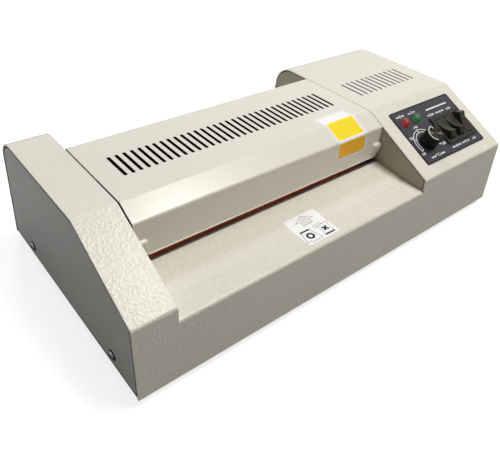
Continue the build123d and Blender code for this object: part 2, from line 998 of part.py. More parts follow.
def shield(axis, start_angle, sweep_angle):
    outer = shield_radius + shield_sheet
    arc = CenterArc(axis, outer, start_angle, sweep_angle)
    ring = make_face(offset(arc, amount=shield_sheet, side=Side.LEFT))
    start, end = guide_span()
    return slab(ring, start, end)


def make_temperature_sensor():
    """A leaf held at the lower shield, with its bead just under the roller."""
    middle = hot_low[1] - hot_radius - nip_gap - sensor_bead / 2
    low = hot_low[1] - shield_radius + running
    x = (sleeve_end - sensor_inset, sleeve_end - sensor_inset + sensor_width)
    y = (hot_y - sensor_leaf / 2, hot_y + sensor_leaf / 2)
    return rod((hot_y, middle), sensor_bead, *x) + block(x, y, (low, middle))


def make_thermal_cutout():
    base = hot_high[1] + shield_radius + shield_sheet + 2 * running
    seat = Pos((sleeve_start + sleeve_end) / 2, hot_y, base)
    ears = extrude(SlotOverall(cutout_ears, cutout_diameter / 2), cutout_ear_sheet)
    return seat * (extrude(Circle(cutout_diameter / 2), cutout_body) + ears)


# Controls on the sloping face

def make_control_panel():
    outline = RectangleRounded(panel_width, panel_length, panel_corner)
    centre = (panel_left + panel_width / 2, panel_low + panel_length / 2)
    panel = on_slope(extrude(outline, panel_sheet), *centre)
    return panel - panel_holes(-panel_sheet, 3 * panel_sheet)


def make_temperature_knob():
    low = panel_sheet + knob_gap
    foot = knob_diameter / 2
    head = foot - knob_taper
    side = Polyline((0, 0), (foot, 0), (head, knob_height - knob_bevel),
                    (head - knob_bevel, knob_height), (0, knob_height), close=True)
    body = revolve(Plane.XZ * make_face(side), Axis.Z)
    recess = extrude(Circle(knob_cap_diameter / 2), knob_cap_sheet)
    body -= Pos(0, 0, knob_height - knob_cap_sheet) * recess
    shaft = extrude(Circle(pot_shaft / 2), low + pot_reach)
    body += Pos(0, 0, -low - pot_reach) * shaft
    return on_slope(body, knob_x, knob_s, low)


def make_knob_cap():
    low = panel_sheet + knob_gap + knob_height - knob_cap_sheet
    return on_slope(extrude(Circle(knob_cap_diameter / 2 - 0.05), knob_cap_sheet), knob_x, knob_s, low)


def make_potentiometer():
    under = -sheet
    bush = extrude(Circle(pot_bush / 2), panel_sheet + sheet + 0.2)
    bush -= extrude(Circle(pot_shaft / 2 + running), panel_sheet + sheet + 0.2)
    can = Pos(0, 0, -pot_depth) * extrude(Circle(pot_diameter / 2), pot_depth)
    can -= Pos(0, 0, -pot_recess) * extrude(Circle(pot_shaft / 2 + running), pot_recess)
    pins = Box(pot_pins_width, pot_pins_length, pot_pins_sheet)
    pins = Pos(0, -pot_diameter / 2, -pot_depth / 2) * pins
    return on_slope(can + bush + pins, knob_x, knob_s, under)


def make_lamp(x):
    """A lens whose dome is the cap of a sphere, on a rim and a stem."""
    edge = lamp_diameter / 2
    radius = (edge ** 2 + lamp_dome ** 2) / (2 * lamp_dome)
    ball = Pos(0, 0, lamp_rim + lamp_dome - radius) * Sphere(radius)
    lens = split(ball, Plane.XY.offset(lamp_rim))
    lens += extrude(Circle(edge), lamp_rim)
    lens += Pos(0, 0, -lamp_depth) * extrude(Circle(lamp_stem / 2), lamp_depth)
    return on_slope(lens, x, lamp_s, panel_sheet)


def make_rocker_switch_bodies():
    bodies = []
    for i in range(switch_count):
        rim = extrude(Rectangle(switch_width, switch_length), switch_rim)
        rim = chamfer(rim.faces().sort_by(Axis.Z)[-1].edges(), switch_bevel)
        body = rim + Pos(0, 0, -switch_body_depth) * extrude(
            Rectangle(switch_body_width, switch_body_length), switch_body_depth)
        well = Rectangle(rocker_width + 2 * rocker_play, 2 * (rocker_end + rocker_play))
        body -= Pos(0, 0, -switch_well) * extrude(well, switch_well + 2 * switch_rim)
        pin_hole = Rot(0, 90, 0) * Cylinder(rocker_pin / 2 + running, switch_body_width)
        body -= Pos(0, 0, -rocker_pivot) * pin_hole
        for row in (-1, 0, 1):
            lug = Box(lug_width, lug_sheet, lug_length)
            body += Pos(0, row * lug_pitch, -switch_body_depth - lug_length / 2) * lug
        bodies.append(on_slope(body, switch_x + i * switch_pitch, switch_s, panel_sheet))
    return bodies


def rocker_face():
    """The rocker's side view about its pivot, untilted: a hollow top between two ends round the pivot."""
    rim = switch_rim + rocker_pivot
    lip, foot = (
        (math.sqrt(rocker_end ** 2 - z ** 2), z) for z in (rim + rocker_lip, -rocker_foot)
    )
    left_lip, left_foot = (-lip[0], lip[1]), (-foot[0], foot[1])
    top = ThreePointArc(left_lip, (0, rim + rocker_middle), lip)
    front = ThreePointArc(lip, (rocker_end, 0), foot)
    back = ThreePointArc(left_foot, (-rocker_end, 0), left_lip)
    return make_face(top + front + Line(foot, left_foot) + back)


def make_rocker(index, turn):
    """A rocker tilted about its pivot, its raised end to the front for turn -1."""
    side_view = Rot(0, 0, turn * rocker_tilt) * rocker_face()
    solid = extrude(Plane.YZ.offset(-rocker_width / 2) * side_view, rocker_width)
    pin_length = rocker_width + 2 * (rocker_play + rocker_pin_reach)
    solid += Rot(0, 90, 0) * Cylinder(rocker_pin / 2, pin_length)
    return on_slope(solid, switch_x + index * switch_pitch, switch_s, panel_sheet - rocker_pivot)


# Electrics

def make_circuit_board():
    """The board on its posts, with its main components as plain blocks."""
    corner = Pos(recess_right + board_left, board_front, board_height)
    upright = (Align.CENTER, Align.CENTER, Align.MIN)
    board = Pos(board_width / 2, board_length / 2, 0)
    board *= Box(board_width, board_length, board_thickness, align=upright)
    drop = board_height - pan_sheet
    for x in (board_post_inset, board_width - board_post_inset):
        for y in (board_post_inset, board_length - board_post_inset):
            board += Pos(x, y, -drop) * Cylinder(board_post / 2, drop, align=upright)
    for place, size in (
        (transformer_place, transformer_size),
        (relay_place, relay_size),
        (terminals_place, terminals_size),
    ):
        board += Pos(*place, board_thickness) * Box(*size, align=upright)
    diameter, height = capacitor_size
    for i in range(3):
        x = capacitor_place[0] + i * capacitor_pitch
        can = Cylinder(diameter / 2, height, align=upright)
        board += Pos(x, capacitor_place[1], board_thickness) * can
    return corner * board


def make_power_inlet():
    plane = back_plane()
    flange = extrude(plane * RectangleRounded(inlet_flange_width, inlet_flange_tall, 4), inlet_rim)
    body = extrude(plane.offset(-inlet_depth) * Rectangle(inlet_width, inlet_tall), inlet_depth)
    inlet = flange + body
    floor = plane.offset(inlet_rim - inlet_well)
    mouth = (inlet_width - 2 * inlet_wall, inlet_tall - 2 * inlet_wall)
    inlet -= extrude(floor * RectangleRounded(*mouth, inlet_wall), inlet_well)
    for i, drop in ((-1, 1), (0, -1), (1, 1)):
        place = Pos(i * blade_pitch, drop * blade_offset)
        inlet += extrude(floor * place * Rectangle(blade_width, blade_tall), blade_length)
    return inlet


# The pieces by name

parts = {
    "outer_casing": make_outer_casing(),
    "base_pan": make_base_pan(),
    "left_end_plate": make_end_plate(-1),
    "right_end_plate": make_end_plate(1),
    "left_inner_wall": make_inner_wall(-1),
    "right_inner_wall": make_inner_wall(1),
    "rubber_feet": make_rubber_feet(),
    "casing_screws": make_casing_screws(),
    "top_cover": make_top_cover(),
    "left_cover_catch": make_cover_catch(-1),
    "right_cover_catch": make_cover_catch(1),
    "cover_hinge_pins": make_cover_hinge_pins(),
    "infeed_guide_strip": make_infeed_guide_strip(),
    "middle_lower_guide": make_middle_guide(-1),
    "middle_upper_guide": make_middle_guide(1),
    "exit_guide": make_exit_guide(),
    "left_side_frame": make_side_frame(-1),
    "right_side_frame": make_side_frame(1),
    "frame_tie_rods": make_frame_tie_rods(),
    "lower_roller_bushes": make_lower_roller_bushes(),
    "upper_bearing_blocks": make_upper_bearing_blocks(),
    "pressure_springs": make_pressure_springs(),
    "spring_bridges": make_spring_bridges(),
    "lower_hot_roller_core": make_hot_core(hot_low),
    "upper_hot_roller_core": make_hot_core(hot_high),
    "lower_hot_roller_sleeve": make_sleeve(hot_low, hot_radius, hot_core),
    "upper_hot_roller_sleeve": make_sleeve(hot_high, hot_radius, hot_core),
    "lower_pull_roller_shaft": make_pull_shaft(pull_low),
    "upper_pull_roller_shaft": make_pull_shaft(pull_high),
    "lower_pull_roller_sleeve": make_sleeve(pull_low, pull_radius, pull_core),
    "upper_pull_roller_sleeve": make_sleeve(pull_high, pull_radius, pull_core),
    "lower_hot_gear": gear_solid(hot_low, hot_teeth, hot_phase, hot_journal),
    "upper_hot_gear": gear_solid(hot_high, hot_teeth, hot_high_phase, hot_journal),
    "lower_pull_gear": gear_solid(pull_low, pull_teeth, pull_phase, pull_shaft),
    "upper_pull_gear": gear_solid(pull_high, pull_teeth, pull_high_phase, pull_shaft),
    "idler_gear": gear_solid(idler_axis(), idler_teeth, idler_phase, stud_diameter + 2 * running),
    "idler_stud": make_idler_stud(),
    "motor_pinion": make_motor_pinion(),
    "gear_motor": make_gear_motor(),
    "motor_bracket": make_motor_bracket(),
    "heater_tubes": make_heater_tubes(),
    "heater_brackets": make_heater_brackets(),
    "upper_heat_shield": shield(hot_high, 10, 150),
    "lower_heat_shield": shield(hot_low, 200, 140),
    "temperature_sensor": make_temperature_sensor(),
    "thermal_cutout": make_thermal_cutout(),
    "control_panel": make_control_panel(),
    "temperature_knob": make_temperature_knob(),
    "knob_cap": make_knob_cap(),
    "potentiometer": make_potentiometer(),
    "power_lamp": make_lamp(red_lamp_x),
    "ready_lamp": make_lamp(green_lamp_x),
    "rocker_switch_bodies": make_rocker_switch_bodies(),
    "heat_rocker": make_rocker(0, -1),
    "direction_rocker": make_rocker(1, -1),
    "power_rocker": make_rocker(2, 1),
    "circuit_board": make_circuit_board(),
    "power_inlet": make_power_inlet(),
}

os.makedirs("parts", exist_ok=True)
to_footprint = Pos(0, -overall_depth / 2, foot_height)
for name, shape in parts.items():
    if isinstance(shape, list):
        shape = Compound(children=[solid for piece in shape for solid in piece.solids()])
    export_step(to_footprint * shape, f"parts/{name}.step")
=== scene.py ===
"""Looks of the desktop laminator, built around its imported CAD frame.

Sizes are in millimetres on the casing: x from its middle to the right, y from the front wall to
the back, z up from its bottom edge. Flat drawings have u across, v up the surface and h off it.
"""

import math

import bmesh
import bpy
from mathutils import Matrix, Vector


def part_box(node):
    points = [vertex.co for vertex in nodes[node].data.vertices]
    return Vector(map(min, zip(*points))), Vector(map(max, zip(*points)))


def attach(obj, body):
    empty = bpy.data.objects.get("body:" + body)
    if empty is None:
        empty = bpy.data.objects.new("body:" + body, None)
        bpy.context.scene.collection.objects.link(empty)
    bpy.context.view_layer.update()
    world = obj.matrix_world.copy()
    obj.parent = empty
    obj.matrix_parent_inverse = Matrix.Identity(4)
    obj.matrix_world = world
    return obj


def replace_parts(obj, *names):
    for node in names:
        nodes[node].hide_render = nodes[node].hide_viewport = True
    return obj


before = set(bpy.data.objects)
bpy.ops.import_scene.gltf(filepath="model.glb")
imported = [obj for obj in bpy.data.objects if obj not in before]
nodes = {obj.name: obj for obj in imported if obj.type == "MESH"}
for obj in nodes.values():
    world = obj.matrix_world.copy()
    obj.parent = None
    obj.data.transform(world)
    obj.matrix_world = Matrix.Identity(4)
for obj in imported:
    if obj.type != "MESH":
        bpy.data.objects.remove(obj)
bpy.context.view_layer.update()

MM = 0.001
QUARTER = math.pi / 2

# The casing's section
casing_low, casing_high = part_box("outer_casing")
case_height = (casing_high.z - casing_low.z) / MM
front_height = 61.7
slope_run = 70.7
slope_angle = math.atan2(case_height - front_height, slope_run)
shelf_height = 50.7
shelf_level = 22.0
shelf_angle = math.atan2(3.8, 32.0)
cover_bend = 2.5

# Panel, along x and up the slope
knob_centre = (112.1, 30.8)
knob_top = 14.3
knob_cap_radius = 6.85
knob_cap_sheet = 0.6
panel_box = (94.0, 179.4, 11.2, 69.0)
panel_corner = 1.8
panel_sheet = 0.8
lamp_xs = (104.6, 120.0)
lamp_s = 55.8

plate_face = 192.3
screw_ys = (33.3, 169.4)
screw_z = 11.0

# How thick printed ink and a sticker's film are
INK = 0.06
FILM = 0.1

# Boxes round the cut edges of the vents, where the shade in them is painted, in millimetres in the frame
HOUSING_VENTS = ((85, -12, 102.7), (188, 22, 103.9))
COVER_VENTS = ((-156, -12, 102.7), (76, 22, 103.9))


def at(x, y, z):
    """A point on the casing, in metres in the frame."""
    return Vector((x * MM, casing_low.y + y * MM, casing_low.z + z * MM))


def section(point):
    """Where a point of the frame is on the casing's section, as (y, z)."""
    return (point.y - casing_low.y) / MM, (point.z - casing_low.z) / MM


cover_front, cover_bottom = section(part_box("top_cover")[0])


# Camera

def make_camera():
    """The photograph's view: place, direction and framing fitted to the casing's edges."""
    yaw, pitch, roll = (math.radians(a) for a in (42.88, 32.65, 4.38))
    camera = bpy.data.objects.new("camera", bpy.data.cameras.new("camera"))
    camera.data.lens = 40.75
    camera.data.shift_x = -0.0657
    camera.data.shift_y = -0.0975
    turn = Matrix.Rotation(-yaw, 4, "Z") @ Matrix.Rotation(QUARTER - pitch, 4, "X")
    place = Matrix.Translation((-0.2830, -0.31945, 0.31998))
    camera.matrix_world = place @ turn @ Matrix.Rotation(roll, 4, "Z")
    bpy.context.collection.objects.link(camera)
    bpy.context.scene.camera = camera


make_camera()
bpy.context.scene.view_settings.view_transform = "Standard"


# Materials

def srgb(red, green, blue):
    """A screen colour, 0 to 255, as the linear colour that a shader takes."""
    def linear(value):
        value /= 255
        return value / 12.92 if value <= 0.04045 else ((value + 0.055) / 1.055) ** 2.4
    return (linear(red), linear(green), linear(blue), 1.0)


class Finish:
    """A Principled material in the object's own coordinates, its texture added by calls."""

    def __init__(self, name, color, roughness=0.5, metallic=0.0, **sockets):
        self.material = bpy.data.materials.new(name)
        self.material.use_nodes = True
        self.tree = self.material.node_tree
        self.shader = self.tree.nodes["Principled BSDF"]
        self.color = color
        self.shader.inputs["Base Color"].default_value = color
        self.shader.inputs["Roughness"].default_value = roughness
        self.shader.inputs["Metallic"].default_value = metallic
        for socket, value in sockets.items():
            self.shader.inputs[socket.replace("_", " ")].default_value = value
        self.place = self.node("ShaderNodeTexCoord").outputs["Object"]

    def node(self, kind, **values):
        """A node, with its sockets set or linked by name and its own fields set in lower case."""
        made = self.tree.nodes.new(kind)
        for name, value in values.items():
            if name.islower():
                setattr(made, name, value)
                continue
            self.feed(value, made.inputs[name.replace("_", " ")])
        return made

    def feed(self, value, socket):
        """Links a socket to another, or sets it to a plain value."""
        if isinstance(value, bpy.types.NodeSocket):
            self.tree.links.new(value, socket)
        else:
            socket.default_value = value

    def fed(self, name):
        """What the shader's socket is linked to so far, if anything."""
        links = self.shader.inputs[name].links
        return links[0].from_socket if links else None

    def stretched(self, scale):
        """Object coordinates scaled along each axis, for brushed or drawn grain."""
        return self.node("ShaderNodeMapping", Vector=self.place, Scale=scale).outputs[0]

    def noise(self, scale, detail=2.0, stretch=(1, 1, 1)):
        vector = self.place if stretch == (1, 1, 1) else self.stretched(stretch)
        made = self.node("ShaderNodeTexNoise", Vector=vector, Scale=scale, Detail=detail)
        return made.outputs["Fac"]

    def spread(self, value, low, high, start=0.25, end=0.75):
        """A texture's value brought between two numbers."""
        made = self.node("ShaderNodeMapRange", interpolation_type="SMOOTHSTEP", Value=value,
                         From_Min=start, From_Max=end, To_Min=low, To_Max=high)
        return made.outputs["Result"]

    def mottled(self, scale, amount, detail=3.0, stretch=(1, 1, 1)):
        """Varies the colour a little, lighter and darker."""
        shade = self.spread(self.noise(scale, detail, stretch), 1 - amount, 1 + amount)
        held = self.fed("Base Color") or self.color[:3]
        mixed = self.node("ShaderNodeVectorMath", operation="SCALE", Vector=held, Scale=shade)
        self.feed(mixed.outputs[0], self.shader.inputs["Base Color"])
        return self

    def uneven(self, scale, low, high, stretch=(1, 1, 1)):
        """Varies the roughness between two values."""
        value = self.spread(self.noise(scale, 3.0, stretch), low, high)
        self.feed(value, self.shader.inputs["Roughness"])
        return self

    def bump(self, height, depth, strength=1.0):
        """Relief of a depth in millimetres, on top of any added before."""
        before = self.fed("Normal")
        made = self.node("ShaderNodeBump", Height=height, Distance=depth * MM, Strength=strength)
        if before:
            self.feed(before, made.inputs["Normal"])
        self.feed(made.outputs["Normal"], self.shader.inputs["Normal"])
        return self

    def times(self, first, second):
        """One value times another."""
        made = self.node("ShaderNodeMath", operation="MULTIPLY")
        self.feed(first, made.inputs[0])
        self.feed(second, made.inputs[1])
        return made.outputs[0]

    def inside(self, low, high):
        """1 inside a box of the object's coordinates, in millimetres, and 0 outside it."""
        axes = self.node("ShaderNodeSeparateXYZ", Vector=self.place).outputs
        share = None
        for axis, least, most in zip(axes, low, high):
            for value, operation in ((least, "GREATER_THAN"), (most, "LESS_THAN")):
                made = self.node("ShaderNodeMath", operation=operation)
                self.feed(axis, made.inputs[0])
                self.feed(value * MM, made.inputs[1])
                share = self.times(share, made.outputs[0]) if share else made.outputs[0]
        return share

    def tinted(self, share, color):
        """Mixes the colour towards another by a share."""
        mixed = self.node("ShaderNodeMix", data_type="RGBA", Factor=share)
        first, second = 6, 7  # its two colours, which share their names with other sockets
        self.feed(self.fed("Base Color") or self.color, mixed.inputs[first])
        self.feed(color, mixed.inputs[second])
        self.feed(mixed.outputs[2], self.shader.inputs["Base Color"])
        return self

    def soft_edges(self, radius):
        """Rounds the shading over a sharp edge, radius in millimetres. Called before bump."""
        made = self.node("ShaderNodeBevel", Radius=radius * MM, samples=4)
        self.feed(made.outputs[0], self.shader.inputs["Normal"])
        return self


CREAM = srgb(225, 221, 208)
# Painted shade: the near-black colour given to the walls of the vent slots
VENT_SHADE = srgb(30, 29, 25)


def hammered_enamel():
    """Baked enamel with the coarse relief of the casing, with painted shade on the cut edges of its vents.
    """
    made = Finish("hammered_enamel", CREAM, 0.3, Specular_IOR_Level=0.4)
    made.soft_edges(0.5).mottled(9.0, 0.010).mottled(520.0, 0.045, 1.0)
    # painted shade on the walls of the housing's vent slots
    made.tinted(made.inside(*HOUSING_VENTS), VENT_SHADE)
    across = made.node("ShaderNodeSeparateXYZ", Vector=made.place).outputs["X"]
    share = made.spread(across, 1.0, 0.5, -0.14, 0.10)
    return made.bump(made.times(made.noise(480.0, 1.0), share), 0.30, 1.0).material


def satin_enamel():
    """The cover's smoother enamel, with a fine orange peel and painted shade on the cut edges of its vents.
    """
    made = Finish("satin_enamel", CREAM, 0.28, Specular_IOR_Level=0.4, Coat_Weight=0.2, Coat_Roughness=0.2)
    made.soft_edges(0.5).mottled(7.0, 0.010)
    # painted shade on the walls of the cover's vent slots
    made.tinted(made.inside(*COVER_VENTS), VENT_SHADE)
    return made.bump(made.noise(300.0, 1.0), 0.006, 0.4).material


def wall_enamel():
    """The duller paint on the walls beside the feed opening."""
    made = Finish("wall_enamel", srgb(164, 159, 144), 0.5)
    made.soft_edges(0.3).mottled(12.0, 0.03)
    made.uneven(50.0, 0.45, 0.58)
    return made.bump(made.noise(800.0, 2.0), 0.02, 0.5).material


def plate_enamel():
    """Smooth grey satin paint of the end plates."""
    made = Finish("plate_enamel", srgb(166, 165, 163), 0.34)
    made.soft_edges(0.3).mottled(14.0, 0.03)
    made.uneven(35.0, 0.30, 0.40)
    return made.bump(made.noise(450.0, 2.0), 0.02, 0.5).material


def zinc():
    """Zinc-plated sheet, its crystals a little lighter and darker."""
    made = Finish("zinc", srgb(172, 172, 168), 0.38, 1.0)
    made.soft_edges(0.2).mottled(90.0, 0.08)
    made.uneven(110.0, 0.28, 0.48)
    return made.bump(made.noise(1500.0, 2.0), 0.01, 0.5).material


def ground_steel():
    """Bright bar, ground round its length."""
    made = Finish("ground_steel", srgb(190, 190, 192), 0.25, 1.0)
    made.soft_edges(0.15).mottled(240.0, 0.05, 2.0, (8, 1, 1))
    made.uneven(300.0, 0.16, 0.34, (9, 1, 1))
    return made.bump(made.noise(900.0, 2.0, (9, 1, 1)), 0.008, 0.5).material


def turned_aluminium():
    made = Finish("turned_aluminium", srgb(205, 205, 208), 0.3, 1.0)
    made.soft_edges(0.15).mottled(200.0, 0.05, 2.0, (6, 1, 1))
    made.uneven(260.0, 0.22, 0.40, (8, 1, 1))
    return made.bump(made.noise(1000.0, 2.0, (8, 1, 1)), 0.008, 0.5).material


def sintered_brass():
    made = Finish("sintered_brass", srgb(196, 160, 92), 0.45, 1.0)
    made.soft_edges(0.15).mottled(500.0, 0.12)
    return made.bump(made.noise(2600.0, 2.0), 0.02, 0.6).material


def silicone():
    """Matt red-brown silicone, dusty here and there."""
    made = Finish("silicone", srgb(240, 124, 72), 0.62, Specular_IOR_Level=0.4)
    made.soft_edges(0.2).mottled(60.0, 0.09)
    made.uneven(80.0, 0.52, 0.72)
    return made.bump(made.noise(2200.0, 2.0), 0.015, 0.5).material


def black_rubber():
    made = Finish("black_rubber", srgb(34, 34, 35), 0.72)
    made.soft_edges(0.4).mottled(120.0, 0.14)
    return made.bump(made.noise(1400.0, 3.0), 0.04, 0.6).material


def nylon():
    made = Finish("nylon", srgb(222, 219, 206), 0.42, Subsurface_Weight=0.15)
    made.shader.inputs["Subsurface Radius"].default_value = (0.004, 0.0035, 0.003)
    made.soft_edges(0.15).mottled(80.0, 0.03)
    return made.bump(made.noise(1600.0, 2.0), 0.01, 0.5).material


def moulded_black(name, color, roughness=0.36, gloss=0.5):
    """Black moulded plastic with a fine spark-eroded grain."""
    made = Finish(name, color, roughness, Specular_IOR_Level=gloss)
    made.soft_edges(0.25).mottled(150.0, 0.08)
    made.uneven(220.0, roughness - 0.06, roughness + 0.08)
    return made.bump(made.noise(3800.0, 2.0), 0.012, 0.5).material


def slate_film():
    """The panel's printed film."""
    made = Finish("slate_film", srgb(42, 40, 48), 0.45, Specular_IOR_Level=0.35)
    made.mottled(180.0, 0.04)
    made.uneven(160.0, 0.38, 0.48)
    return made.bump(made.noise(5200.0, 2.0), 0.008, 0.5).material


def baked_coating():
    """The dark coating of the paper guides, rubbed by pouches along y."""
    made = Finish("baked_coating", srgb(124, 119, 115), 0.55)
    made.soft_edges(0.2).mottled(160.0, 0.12, 3.0, (3, 0.4, 1))
    made.uneven(200.0, 0.38, 0.55, (3, 0.4, 1))
    return made.bump(made.noise(1500.0, 2.0), 0.01, 0.5).material


def lens(name, deep, pale):
    """Clear coloured plastic with a painted highlight: paler low down, towards the lower left of its own
    axes.
    """
    made = Finish(name, deep, 0.3, Specular_IOR_Level=0.2, Coat_Weight=0.6, Coat_Roughness=0.03)
    # painted highlight: the pale colour is mixed in towards the lower left of the lens
    along_it = made.node("ShaderNodeVectorMath", operation="DOT_PRODUCT", Vector=made.place)
    made.feed((0.6, 0.8, 0.0), along_it.inputs[1])
    made.tinted(made.spread(along_it.outputs["Value"], 1.0, 0.0, -0.0045, -0.0005), pale)
    return made.bump(made.noise(700.0, 1.0), 0.004, 0.3).material


def dark_coating():
    """The matt heat-proof black of the shields over the rollers and of the vent baffle, dark as painted
    shade for what shows through the vents.
    """
    made = Finish("dark_coating", srgb(34, 32, 30), 0.7, Specular_IOR_Level=0.25)
    made.soft_edges(0.2).mottled(90.0, 0.14)
    made.uneven(120.0, 0.62, 0.78)
    return made.bump(made.noise(1800.0, 2.0), 0.02, 0.5).material


def laminate():
    """Green laminate with copper tracks showing through the lacquer."""
    made = Finish("laminate", srgb(30, 104, 58), 0.35)
    made.soft_edges(0.2).mottled(220.0, 0.2, 4.0)
    made.uneven(90.0, 0.28, 0.45)
    return made.bump(made.noise(800.0, 2.0), 0.03, 0.5).material


def glazed_ceramic():
    made = Finish("glazed_ceramic", srgb(228, 224, 212), 0.2, Coat_Weight=0.4)
    made.soft_edges(0.3).mottled(70.0, 0.03)
    return made.bump(made.noise(700.0, 2.0), 0.02, 0.4).material


def black_oxide(name, color):
    """Blackened steel of the screws, rubbed paler on their heads. Its black copy is painted shade on the
    rings round the heads.
    """
    made = Finish(name, color, 0.32, 0.8)
    made.mottled(400.0, 0.15)
    made.uneven(500.0, 0.24, 0.42)
    return made.bump(made.noise(3000.0, 2.0), 0.008, 0.5).material


def gap_shade():
    """Painted shade for the gaps: near-black strips with a fibrous grain."""
    made = Finish("gap_shade", srgb(24, 23, 22), 0.9, Specular_IOR_Level=0.1)
    made.mottled(700.0, 0.2, 2.0, (1, 3, 3))
    return made.bump(made.noise(2600.0, 2.0, (1, 3, 3)), 0.05, 0.6).material


def ink(name, color, roughness=0.5):
    """Screen-printed ink, slightly uneven."""
    made = Finish(name, color, roughness, Specular_IOR_Level=0.25)
    made.mottled(900.0, 0.03)
    return made.bump(made.noise(4000.0, 2.0), 0.006, 0.4).material


def vinyl(name, color):
    """A smooth self-adhesive film that lifts and dips a little."""
    made = Finish(name, color, 0.3)
    made.mottled(120.0, 0.012)
    made.uneven(90.0, 0.26, 0.36)
    return made.bump(made.noise(160.0, 2.0), 0.04, 0.3).material


def spun_aluminium():
    """The knob's cap, spun round its own Z axis, with painted fans of highlight and shade in its colour,
    where such metal reflects light and dark.
    """
    made = Finish("spun_aluminium", srgb(120, 116, 106), 0.34, 1.0, Anisotropic=0.6)
    radial = made.node("ShaderNodeTangent", direction_type="RADIAL", axis="Z")
    made.feed(radial.outputs[0], made.shader.inputs["Tangent"])
    around = made.node("ShaderNodeTexGradient", gradient_type="RADIAL", Vector=made.place)
    painted_fans = made.node("ShaderNodeValToRGB", Fac=around.outputs["Fac"])
    stops = painted_fans.color_ramp.elements
    # painted highlights and shade: bright and dark fans fixed round the cap's axis
    bright, middle, dark = srgb(122, 115, 100), srgb(64, 61, 55), srgb(36, 34, 31)
    while len(stops) > 1:
        stops.remove(stops[-1])
    stops[0].position, stops[0].color = 0.0, dark
    for place, color in (
        (0.06, dark), (0.12, middle), (0.18, dark), (0.38, dark), (0.43, bright), (0.45, bright),
        (0.50, dark), (0.56, dark), (0.62, middle), (0.68, dark), (0.88, dark), (0.93, bright),
        (0.95, bright), (1.0, dark),
    ):
        stops.new(place).color = color
    made.feed(painted_fans.outputs["Color"], made.shader.inputs["Base Color"])
    rings = made.node("ShaderNodeTexWave", Vector=made.place, wave_type="RINGS",
                      rings_direction="Z", Scale=900.0, Distortion=0.4, Detail=2.0)
    made.mottled(500.0, 0.05)
    return made.bump(rings.outputs["Fac"], 0.012, 0.5).material


white_ink = ink("white_ink", srgb(232, 232, 232))
black_ink = ink("black_ink", srgb(30, 26, 28))
grey_ink = ink("grey_ink", srgb(178, 170, 173))
# painted shade along the panel's edge, given the ink finish of the print
panel_edge_shade = ink("panel_edge_shade", srgb(12, 11, 14), 0.6)
white_vinyl = vinyl("white_vinyl", srgb(248, 248, 248))
yellow_ink = ink("yellow_ink", srgb(252, 222, 36), 0.35)
amber_ink = ink("amber_ink", srgb(255, 190, 52), 0.35)
line_ink = ink("line_ink", srgb(206, 202, 212), 0.4)
# The second colour of each lens is its painted highlight
red_lens = lens("red_lens", srgb(106, 5, 15), srgb(228, 30, 32))
green_lens = lens("green_lens", srgb(10, 74, 38), srgb(46, 158, 78))
screw_shade_black = black_oxide("black_oxide", srgb(24, 24, 25))
screw_steel = black_oxide("dark_steel", srgb(132, 132, 134))
gap_shade_black = gap_shade()
cap_metal = spun_aluminium()

cover_enamel = satin_enamel()
vent_shade_black = dark_coating()

dress = {
    hammered_enamel(): ["outer_casing"],
    cover_enamel: ["top_cover", "left_cover_catch", "right_cover_catch"],
    wall_enamel(): ["left_inner_wall", "right_inner_wall"],
    plate_enamel(): ["left_end_plate", "right_end_plate"],
    zinc(): [
        "base_pan", "left_side_frame", "right_side_frame", "spring_bridges", "motor_bracket",
        "heater_brackets", "gear_motor", "pressure_springs",
    ],
    vent_shade_black: ["upper_heat_shield", "lower_heat_shield"],
    ground_steel(): [
        "cover_hinge_pins", "frame_tie_rods", "idler_stud", "lower_pull_roller_shaft",
        "upper_pull_roller_shaft", "motor_pinion",
    ],
    turned_aluminium(): ["lower_hot_roller_core", "upper_hot_roller_core"],
    sintered_brass(): ["lower_roller_bushes"],
    silicone(): [
        "lower_hot_roller_sleeve", "upper_hot_roller_sleeve",
        "lower_pull_roller_sleeve", "upper_pull_roller_sleeve",
    ],
    black_rubber(): ["rubber_feet"],
    nylon(): [
        "upper_bearing_blocks", "lower_hot_gear", "upper_hot_gear", "lower_pull_gear",
        "upper_pull_gear", "idler_gear",
    ],
    moulded_black("switch_black", srgb(50, 47, 42), 0.40, 0.15): [
        "rocker_switch_bodies", "heat_rocker", "direction_rocker", "power_rocker",
        "power_inlet", "potentiometer", "thermal_cutout", "temperature_sensor",
    ],
    moulded_black("knob_black", srgb(18, 18, 18), 0.42, 0.15): ["temperature_knob"],
    slate_film(): ["control_panel"],
    baked_coating(): [
        "infeed_guide_strip", "middle_lower_guide", "middle_upper_guide", "exit_guide",
    ],
    red_lens: ["power_lamp"],
    green_lens: ["ready_lamp"],
    laminate(): ["circuit_board"],
    glazed_ceramic(): ["heater_tubes"],
    screw_shade_black: ["casing_screws"],
    cap_metal: ["knob_cap"],
}
for material, names in dress.items():
    for name in names:
        mesh = nodes[name].data
        mesh.materials.clear()
        mesh.materials.append(material)


# Surfaces that flat drawings are laid on: each takes (u, v, h) and gives a point in metres

def on_slope(u, v, h):
    """On the sloping face, v measured up it from the front fold."""
    rise, run = math.sin(slope_angle), math.cos(slope_angle)
    return at(u, v * run - h * rise, front_height + v * rise + h * run)


def on_knob(u, v, h):
    """On the knob's top, from its middle."""
    return on_slope(knob_centre[0] + u, knob_centre[1] + v, knob_top + h)


def along(path, v, h):
    """A point (y, z) a length v along a folded section and h off it."""
    for start, heading, turn, length in path:
        if v <= length:
            break
        v -= length
    if abs(turn) < 1e-9:
        y, z = start[0] + v * math.cos(heading), start[1] + v * math.sin(heading)
    else:
        radius = length / turn
        middle = (start[0] - radius * math.sin(heading), start[1] + radius * math.cos(heading))
        heading += v / radius
        y, z = middle[0] + radius * math.sin(heading), middle[1] - radius * math.cos(heading)
    return y - h * math.sin(heading), z + h * math.cos(heading)


